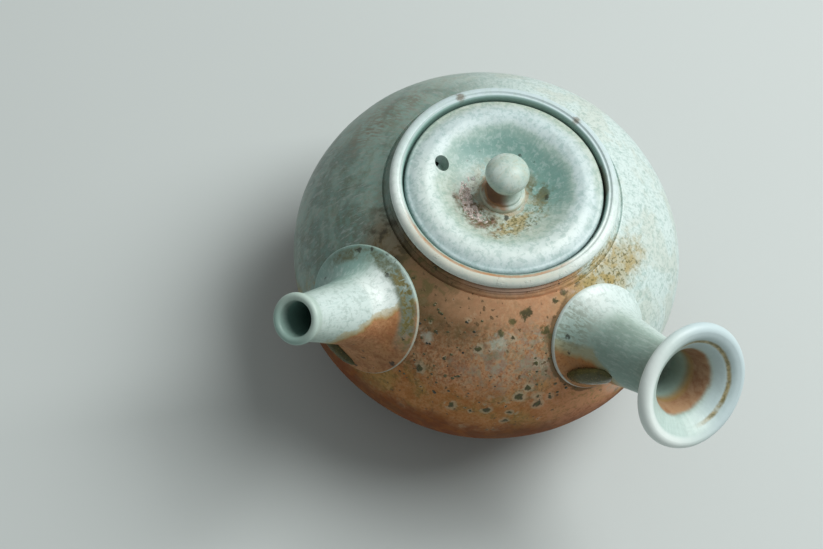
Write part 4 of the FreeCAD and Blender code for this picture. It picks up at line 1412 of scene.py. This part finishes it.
def raised_specks(body, ash, material):
    """Scatter small flattened beads of melted ash over the front with Geometry Nodes."""
    ground = front_patch(body)
    area = sum(face.area for face in ground.polygons)
    tree = bpy.data.node_groups.new("speck_scatter", "GeometryNodeTree")
    for way in ("INPUT", "OUTPUT"):
        tree.interface.new_socket("Geometry", in_out=way, socket_type="NodeSocketGeometry")
    values = {}
    for name, kind, value in (("Density", "NodeSocketFloat", ash.speck_count / area),
                              ("Seed", "NodeSocketInt", SPECK_SEED),
                              ("Size", "NodeSocketFloat", ash.speck_size)):
        socket = tree.interface.new_socket(name, in_out="INPUT", socket_type=kind)
        values[socket.identifier] = value
    nodes = {name: tree.nodes.new(kind) for name, kind in (
        ("given", "NodeGroupInput"), ("end", "NodeGroupOutput"),
        ("scatter", "GeometryNodeDistributePointsOnFaces"),
        ("bead", "GeometryNodeMeshIcoSphere"), ("place", "GeometryNodeInstanceOnPoints"),
        ("chance", "FunctionNodeRandomValue"), ("squash", "ShaderNodeCombineXYZ"),
        ("uneven", "ShaderNodeVectorMath"), ("size", "ShaderNodeVectorMath"),
        ("real", "GeometryNodeRealizeInstances"), ("finish", "GeometryNodeSetMaterial"))}
    # The beads have radius 1 and are flattened; chance makes them 0.45 to 1.9 times as big.
    nodes["chance"].data_type = "FLOAT"
    nodes["uneven"].operation = "MULTIPLY"
    nodes["size"].operation = "SCALE"
    for name, socket, value in (
            ("bead", "Radius", 1.0), ("bead", "Subdivisions", 2), ("chance", 2, 0.45),
            ("chance", 3, 1.9), ("squash", "X", 1.0), ("squash", "Y", 0.8),
            ("squash", "Z", 0.35), ("finish", "Material", material)):
        nodes[name].inputs[socket].default_value = value
    for first, output, second, socket in (
            ("given", "Geometry", "scatter", "Mesh"), ("given", "Density", "scatter", "Density"),
            ("given", "Seed", "scatter", "Seed"), ("given", "Seed", "chance", "Seed"),
            ("scatter", "Points", "place", "Points"), ("bead", "Mesh", "place", "Instance"),
            ("scatter", "Rotation", "place", "Rotation"), ("squash", 0, "uneven", 0),
            ("chance", 1, "uneven", 1), ("uneven", 0, "size", 0),
            ("given", "Size", "size", "Scale"), ("size", 0, "place", "Scale"),
            ("place", "Instances", "real", "Geometry"),
            ("real", "Geometry", "finish", "Geometry"),
            ("finish", "Geometry", "end", "Geometry")):
        tree.links.new(nodes[first].outputs[output], nodes[second].inputs[socket])

    piece = bpy.data.objects.new("ash_specks", ground)
    bpy.context.scene.collection.objects.link(piece)
    scatter = piece.modifiers.new("scatter", "NODES")
    scatter.node_group = tree
    for identifier, value in values.items():
        scatter[identifier] = value
    applied(piece, scatter)
    piece.data.name = "ash_specks"
    piece.data.shade_smooth()
    return piece


def glass_material(colours):
    """Dark green ash glass with a few trapped bubbles; its darkness is partly painted crevice
    shade.
    """
    glaze = Glaze("ash_glass", colours, 0.10, 0.1)
    glaze.shader["Specular IOR Level"].default_value = 0.3
    clouds = glaze.noise(glaze.place, 520.0, 4.0, 0.6).band(0.38, 0.66)
    bubbles = glaze.node("TexVoronoi", {"Vector": glaze.place, "Scale": 1900.0})["Distance"]
    ground = glaze.paint("glass", (clouds * 0.45, "char"),
                         (bubbles.band(0.24, 0.10) * 0.5, "ochre"))
    glaze.bump(clouds, 0.6, 0.00006)
    return glaze.melt(ground, clouds * 0.14 + 0.14)


def crust_material(colours, dish_floor):
    """Milky pink glass over lumps, with toasted edges."""
    glaze = Glaze("lid_crust_glaze", colours, 0.22, 0.4)
    lumps = glaze.noise(glaze.place, 1100.0, 5.0, 0.65)
    high = glaze.z - dish_floor + (lumps - 0.5) * 0.0009
    ground = glaze.paint("rust", (high.band(-0.00026, -0.00014), "char"),
                         (high.band(0.00000, 0.00014), "blush"),
                         (lumps.band(0.56, 0.66) * 0.6, "frost"))
    glaze.bump(lumps, 1.0, 0.00040)
    return glaze.melt(ground, lumps * 0.35 + 0.12)


def speck_material(colours):
    """Near-black ash beads with olive tops."""
    glaze = Glaze("ash_speck_glaze", colours, 0.25, 0.3)
    change = glaze.noise(glaze.place, 700.0, 3.0, 0.6)
    ground = glaze.paint("char", (change.band(0.38, 0.56) * 0.8, "olive"),
                         (change.band(0.50, 0.66) * 0.7, "umber"))
    return glaze.melt(ground, change * 0.3 + 0.18)


class TeapotStageSizes(bpy.types.PropertyGroup):
    """The floor, the lamp, the room and the camera."""

    floor_span: length("Floor span", "Side of the floor", 3.0)
    floor_colour: colour("Floor colour", "Colour of the floor", 0.525, 0.57, 0.555)
    room_colour: colour("Room colour", "Colour of the light from all sides", 0.84, 0.87, 0.87)
    room_light: bpy.props.FloatProperty(name="Room light", description="Strength of that light",
                                        default=0.32, min=0.0)
    key_place: bpy.props.FloatVectorProperty(name="Key place", description="Place of the lamp",
                                             default=(0.50, -0.16, 0.78), unit="LENGTH")
    key_size: length("Key size", "Side of the lamp", 0.60)
    key_power: bpy.props.FloatProperty(name="Key power", description="Watts of the lamp",
                                       default=9.7, min=0.0)
    lens: bpy.props.FloatProperty(name="Lens", description="Focal length in millimetres",
                                  default=92.39, min=10.0)


# Facets round each thrown piece.
BODY_FACETS = 320
LID_FACETS = 288
KNOB_FACETS = 160

# How far the hole cutters reach each way, as shares of the wall and of the lid's thickness.
WALL_CUT = 3
VENT_CUT = 1.25

# The pools lie where crevices under the flanges are; their dark glass is partly painted crevice
# shade.
# Glass pools: name, middle, the way each is longest, and the way out of the wall.
POOLS = (("handle_glass_pool", (-0.01128, -0.04477, 0.05128), (0.232, -0.568, 0.794),
          (-0.90, -0.42, -0.10)),
         ("spout_glass_pool", (-0.0466, -0.0008, 0.0372), (0.14, -0.956, -0.26),
          (-0.877, -0.253, 0.411)))

# The height that the lamp is turned to, and how near the camera sees.
LIT_HEIGHT = 0.03
NEAREST_SEEN = 0.01

GROUPS = {"teapot_body": TeapotBodySizes, "teapot_lid": TeapotLidSizes,
          "teapot_spout": TeapotSpoutSizes, "teapot_handle": TeapotHandleSizes,
          "teapot_joins": TeapotJoinSizes, "teapot_ash": TeapotAshSizes,
          "teapot_colours": TeapotColours, "teapot_stage": TeapotStageSizes}


def stands_for(piece, body, node):
    """Let a piece ride a body in a node's stead."""
    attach(piece, body)
    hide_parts(node)
    return {"FINISHED"}


def dish_floor(scene):
    """Height of the lowest part of the lid's dish."""
    lid = scene.teapot_lid
    return seat_height(scene.teapot_body) + lid.crest_rise - lid.dish_depth


class TEAPOT_OT_body(bpy.types.Operator):
    """Throw the body, open its wall for the spout and glaze it"""

    bl_idname = "teapot.body"
    bl_label = "Body"

    def execute(self, context):
        scene = context.scene
        body, spout, handle = scene.teapot_body, scene.teapot_spout, scene.teapot_handle
        material = body_material(scene.teapot_colours, handle, handle_place(body, handle))
        piece = turned("pot_body_glazed", body_profile(body, scene.teapot_lid), BODY_FACETS,
                       scene.teapot_joins, material)
        bored(piece, spout.opening_radius, spout_place(body, spout), body.wall * WALL_CUT)
        return stands_for(piece, "pot", "pot_body")


class TEAPOT_OT_spout(bpy.types.Operator):
    """Throw the spout on the wall and glaze it"""

    bl_idname = "teapot.spout"
    bl_label = "Spout"

    def execute(self, context):
        scene = context.scene
        body, joins = scene.teapot_body, scene.teapot_joins
        place = spout_place(body, scene.teapot_spout)
        piece = luted_tube("spout_glazed", spout_profile(scene.teapot_spout, joins), place,
                           body, joins, spout_material(scene.teapot_colours, place))
        return stands_for(piece, "pot", "spout")


class TEAPOT_OT_handle(bpy.types.Operator):
    """Throw the handle on the wall and glaze it"""

    bl_idname = "teapot.handle"
    bl_label = "Handle"

    def execute(self, context):
        scene = context.scene
        body, joins = scene.teapot_body, scene.teapot_joins
        place = handle_place(body, scene.teapot_handle)
        piece = luted_tube("handle_glazed", handle_profile(scene.teapot_handle, joins), place,
                           body, joins, handle_material(scene.teapot_colours, place))
        return stands_for(piece, "pot", "handle")


class TEAPOT_OT_strainer(bpy.types.Operator):
    """Give the strainer its bare clay"""

    bl_idname = "teapot.strainer"
    bl_label = "Strainer clay"

    def execute(self, context):
        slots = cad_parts["strainer"].data.materials
        slots.clear()
        slots.append(clay_material(context.scene.teapot_colours))
        return {"FINISHED"}


class TEAPOT_OT_lid(bpy.types.Operator):
    """Throw the lid, pierce its steam hole and glaze it"""

    bl_idname = "teapot.lid"
    bl_label = "Lid"

    def execute(self, context):
        scene = context.scene
        body, lid = scene.teapot_body, scene.teapot_lid
        seat = seat_height(body)
        piece = turned("lid_glazed", lid_profile(body, lid), LID_FACETS, scene.teapot_joins,
                       lid_material(scene.teapot_colours, lid, seat), seat)
        opening = float(dish_height(body, lid, lid.vent_offset))
        vent = (Matrix.Rotation(lid.vent_turn, 4, "Z")
                @ Matrix.Translation((lid.vent_offset, 0, opening))
                @ Matrix.Rotation(-lid.vent_lean, 4, "Y"))
        bored(piece, lid.vent_radius, vent, lid.thickness * VENT_CUT)
        return stands_for(piece, "lid_body", "lid")


class TEAPOT_OT_knob(bpy.types.Operator):
    """Throw the knob on the lid's dish and glaze it"""

    bl_idname = "teapot.knob"
    bl_label = "Knob"

    def execute(self, context):
        scene = context.scene
        base = dish_floor(scene)
        piece = turned("knob_glazed", knob_profile(scene.teapot_lid), KNOB_FACETS,
                       scene.teapot_joins, knob_material(scene.teapot_colours, base), base)
        return stands_for(piece, "lid_body", "lid_knob")


class TEAPOT_OT_ash(bpy.types.Operator):
    """Add what the ash left: glass pools, raised specks and the crust on the lid"""

    bl_idname = "teapot.ash"
    bl_label = "Melted ash"

    def execute(self, context):
        scene = context.scene
        body, ash, colours = scene.teapot_body, scene.teapot_ash, scene.teapot_colours
        glass = glass_material(colours)
        sizes = ((ash.pool_length, ash.pool_width, ash.pool_depth),
                 (ash.sliver_length, ash.sliver_width, ash.pool_depth))
        for pool, size in zip(POOLS, sizes):
            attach(glass_pool(*pool, size, glass), "pot")
        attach(raised_specks(body, ash, speck_material(colours)), "pot")
        material = crust_material(colours, dish_floor(scene))
        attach(crust_patch(body, scene.teapot_lid, ash, material), "lid_body")
        return {"FINISHED"}


class TEAPOT_OT_stage(bpy.types.Operator):
    """Add the floor, the lamp, the light of the room and the camera"""

    bl_idname = "teapot.stage"
    bl_label = "Stage"

    def execute(self, context):
        scene = context.scene
        stage = scene.teapot_stage
        half = stage.floor_span / 2
        mesh = bpy.data.meshes.new("floor")
        mesh.from_pydata([(-half, -half, 0), (half, -half, 0), (half, half, 0),
                          (-half, half, 0)], [], [(0, 1, 2, 3)])
        mesh.materials.append(floor_material(stage.floor_colour))
        floor = linked("floor", mesh)

        lamp = bpy.data.lights.new("key_lamp", "AREA")
        lamp.shape = "SQUARE"
        lamp.size = stage.key_size
        lamp.energy = stage.key_power
        lit = linked("key_lamp", lamp)
        lit.location = stage.key_place
        way = Vector((0, 0, LIT_HEIGHT)) - Vector(stage.key_place)
        lit.rotation_euler = way.to_track_quat("-Z", "Y").to_euler()
        world = bpy.data.worlds.new("room")
        world.use_nodes = True
        sky = world.node_tree.nodes["Background"]
        sky.inputs["Color"].default_value = (*stage.room_colour, 1)
        sky.inputs["Strength"].default_value = stage.room_light
        scene.world = world

        data = bpy.data.cameras.new("camera")
        data.lens = stage.lens
        data.clip_start = NEAREST_SEEN
        scene.camera = linked("camera", data)
        scene.camera.matrix_world = camera_place()
        scene.view_settings.view_transform = "Standard"
        return {"FINISHED"}


def camera_place():
    """Where the camera stood, worked out from the pot's circles in the photo."""
    right = Vector((0.7705, -0.6304, 0.0949))
    above = Vector((0.5223, 0.7094, 0.4732))
    ahead = Vector((0.3656, 0.3151, -0.8758))
    place = Matrix((right, above, -ahead)).transposed().to_4x4()
    place.translation = (-0.2012, -0.1514, 0.4684)
    return place


def floor_material(value):
    """A plain paper floor with a very faint grain."""
    material = bpy.data.materials.new("paper")
    material.use_nodes = True
    wiring = Wiring(material.node_tree)
    shader = material.node_tree.nodes["Principled BSDF"].inputs
    shader["Roughness"].default_value = 0.85
    grain = wiring.noise(wiring.node("TexCoord")["Object"], 9.0, 2.0)
    darker = [channel * 0.97 for channel in value]
    wiring.feed(shader["Base Color"], wiring.paint(value, (grain, darker)))
    return material


STEPS = (TEAPOT_OT_body, TEAPOT_OT_spout, TEAPOT_OT_handle, TEAPOT_OT_strainer, TEAPOT_OT_lid,
         TEAPOT_OT_knob, TEAPOT_OT_ash, TEAPOT_OT_stage)


class TEAPOT_PT_steps(bpy.types.Panel):
    """Lists the steps that build the teapot"""

    bl_idname = "TEAPOT_PT_steps"
    bl_label = "Side-Handled Teapot"
    bl_space_type = "VIEW_3D"
    bl_region_type = "UI"
    bl_category = "Teapot"

    def draw(self, context):
        for step in STEPS:
            self.layout.operator(step.bl_idname)


CLASSES = (*GROUPS.values(), *STEPS, TEAPOT_PT_steps)


def register():
    for made in CLASSES:
        bpy.utils.register_class(made)
    for name, group in GROUPS.items():
        setattr(bpy.types.Scene, name, bpy.props.PointerProperty(type=group))


def unregister():
    for name in GROUPS:
        delattr(bpy.types.Scene, name)
    for made in reversed(CLASSES):
        bpy.utils.unregister_class(made)


def main():
    register()
    bpy.ops.teapot.body()
    bpy.ops.teapot.spout()
    bpy.ops.teapot.handle()
    bpy.ops.teapot.strainer()
    bpy.ops.teapot.lid()
    bpy.ops.teapot.knob()
    bpy.ops.teapot.ash()
    bpy.ops.teapot.stage()


if __name__ == "__main__":
    main()
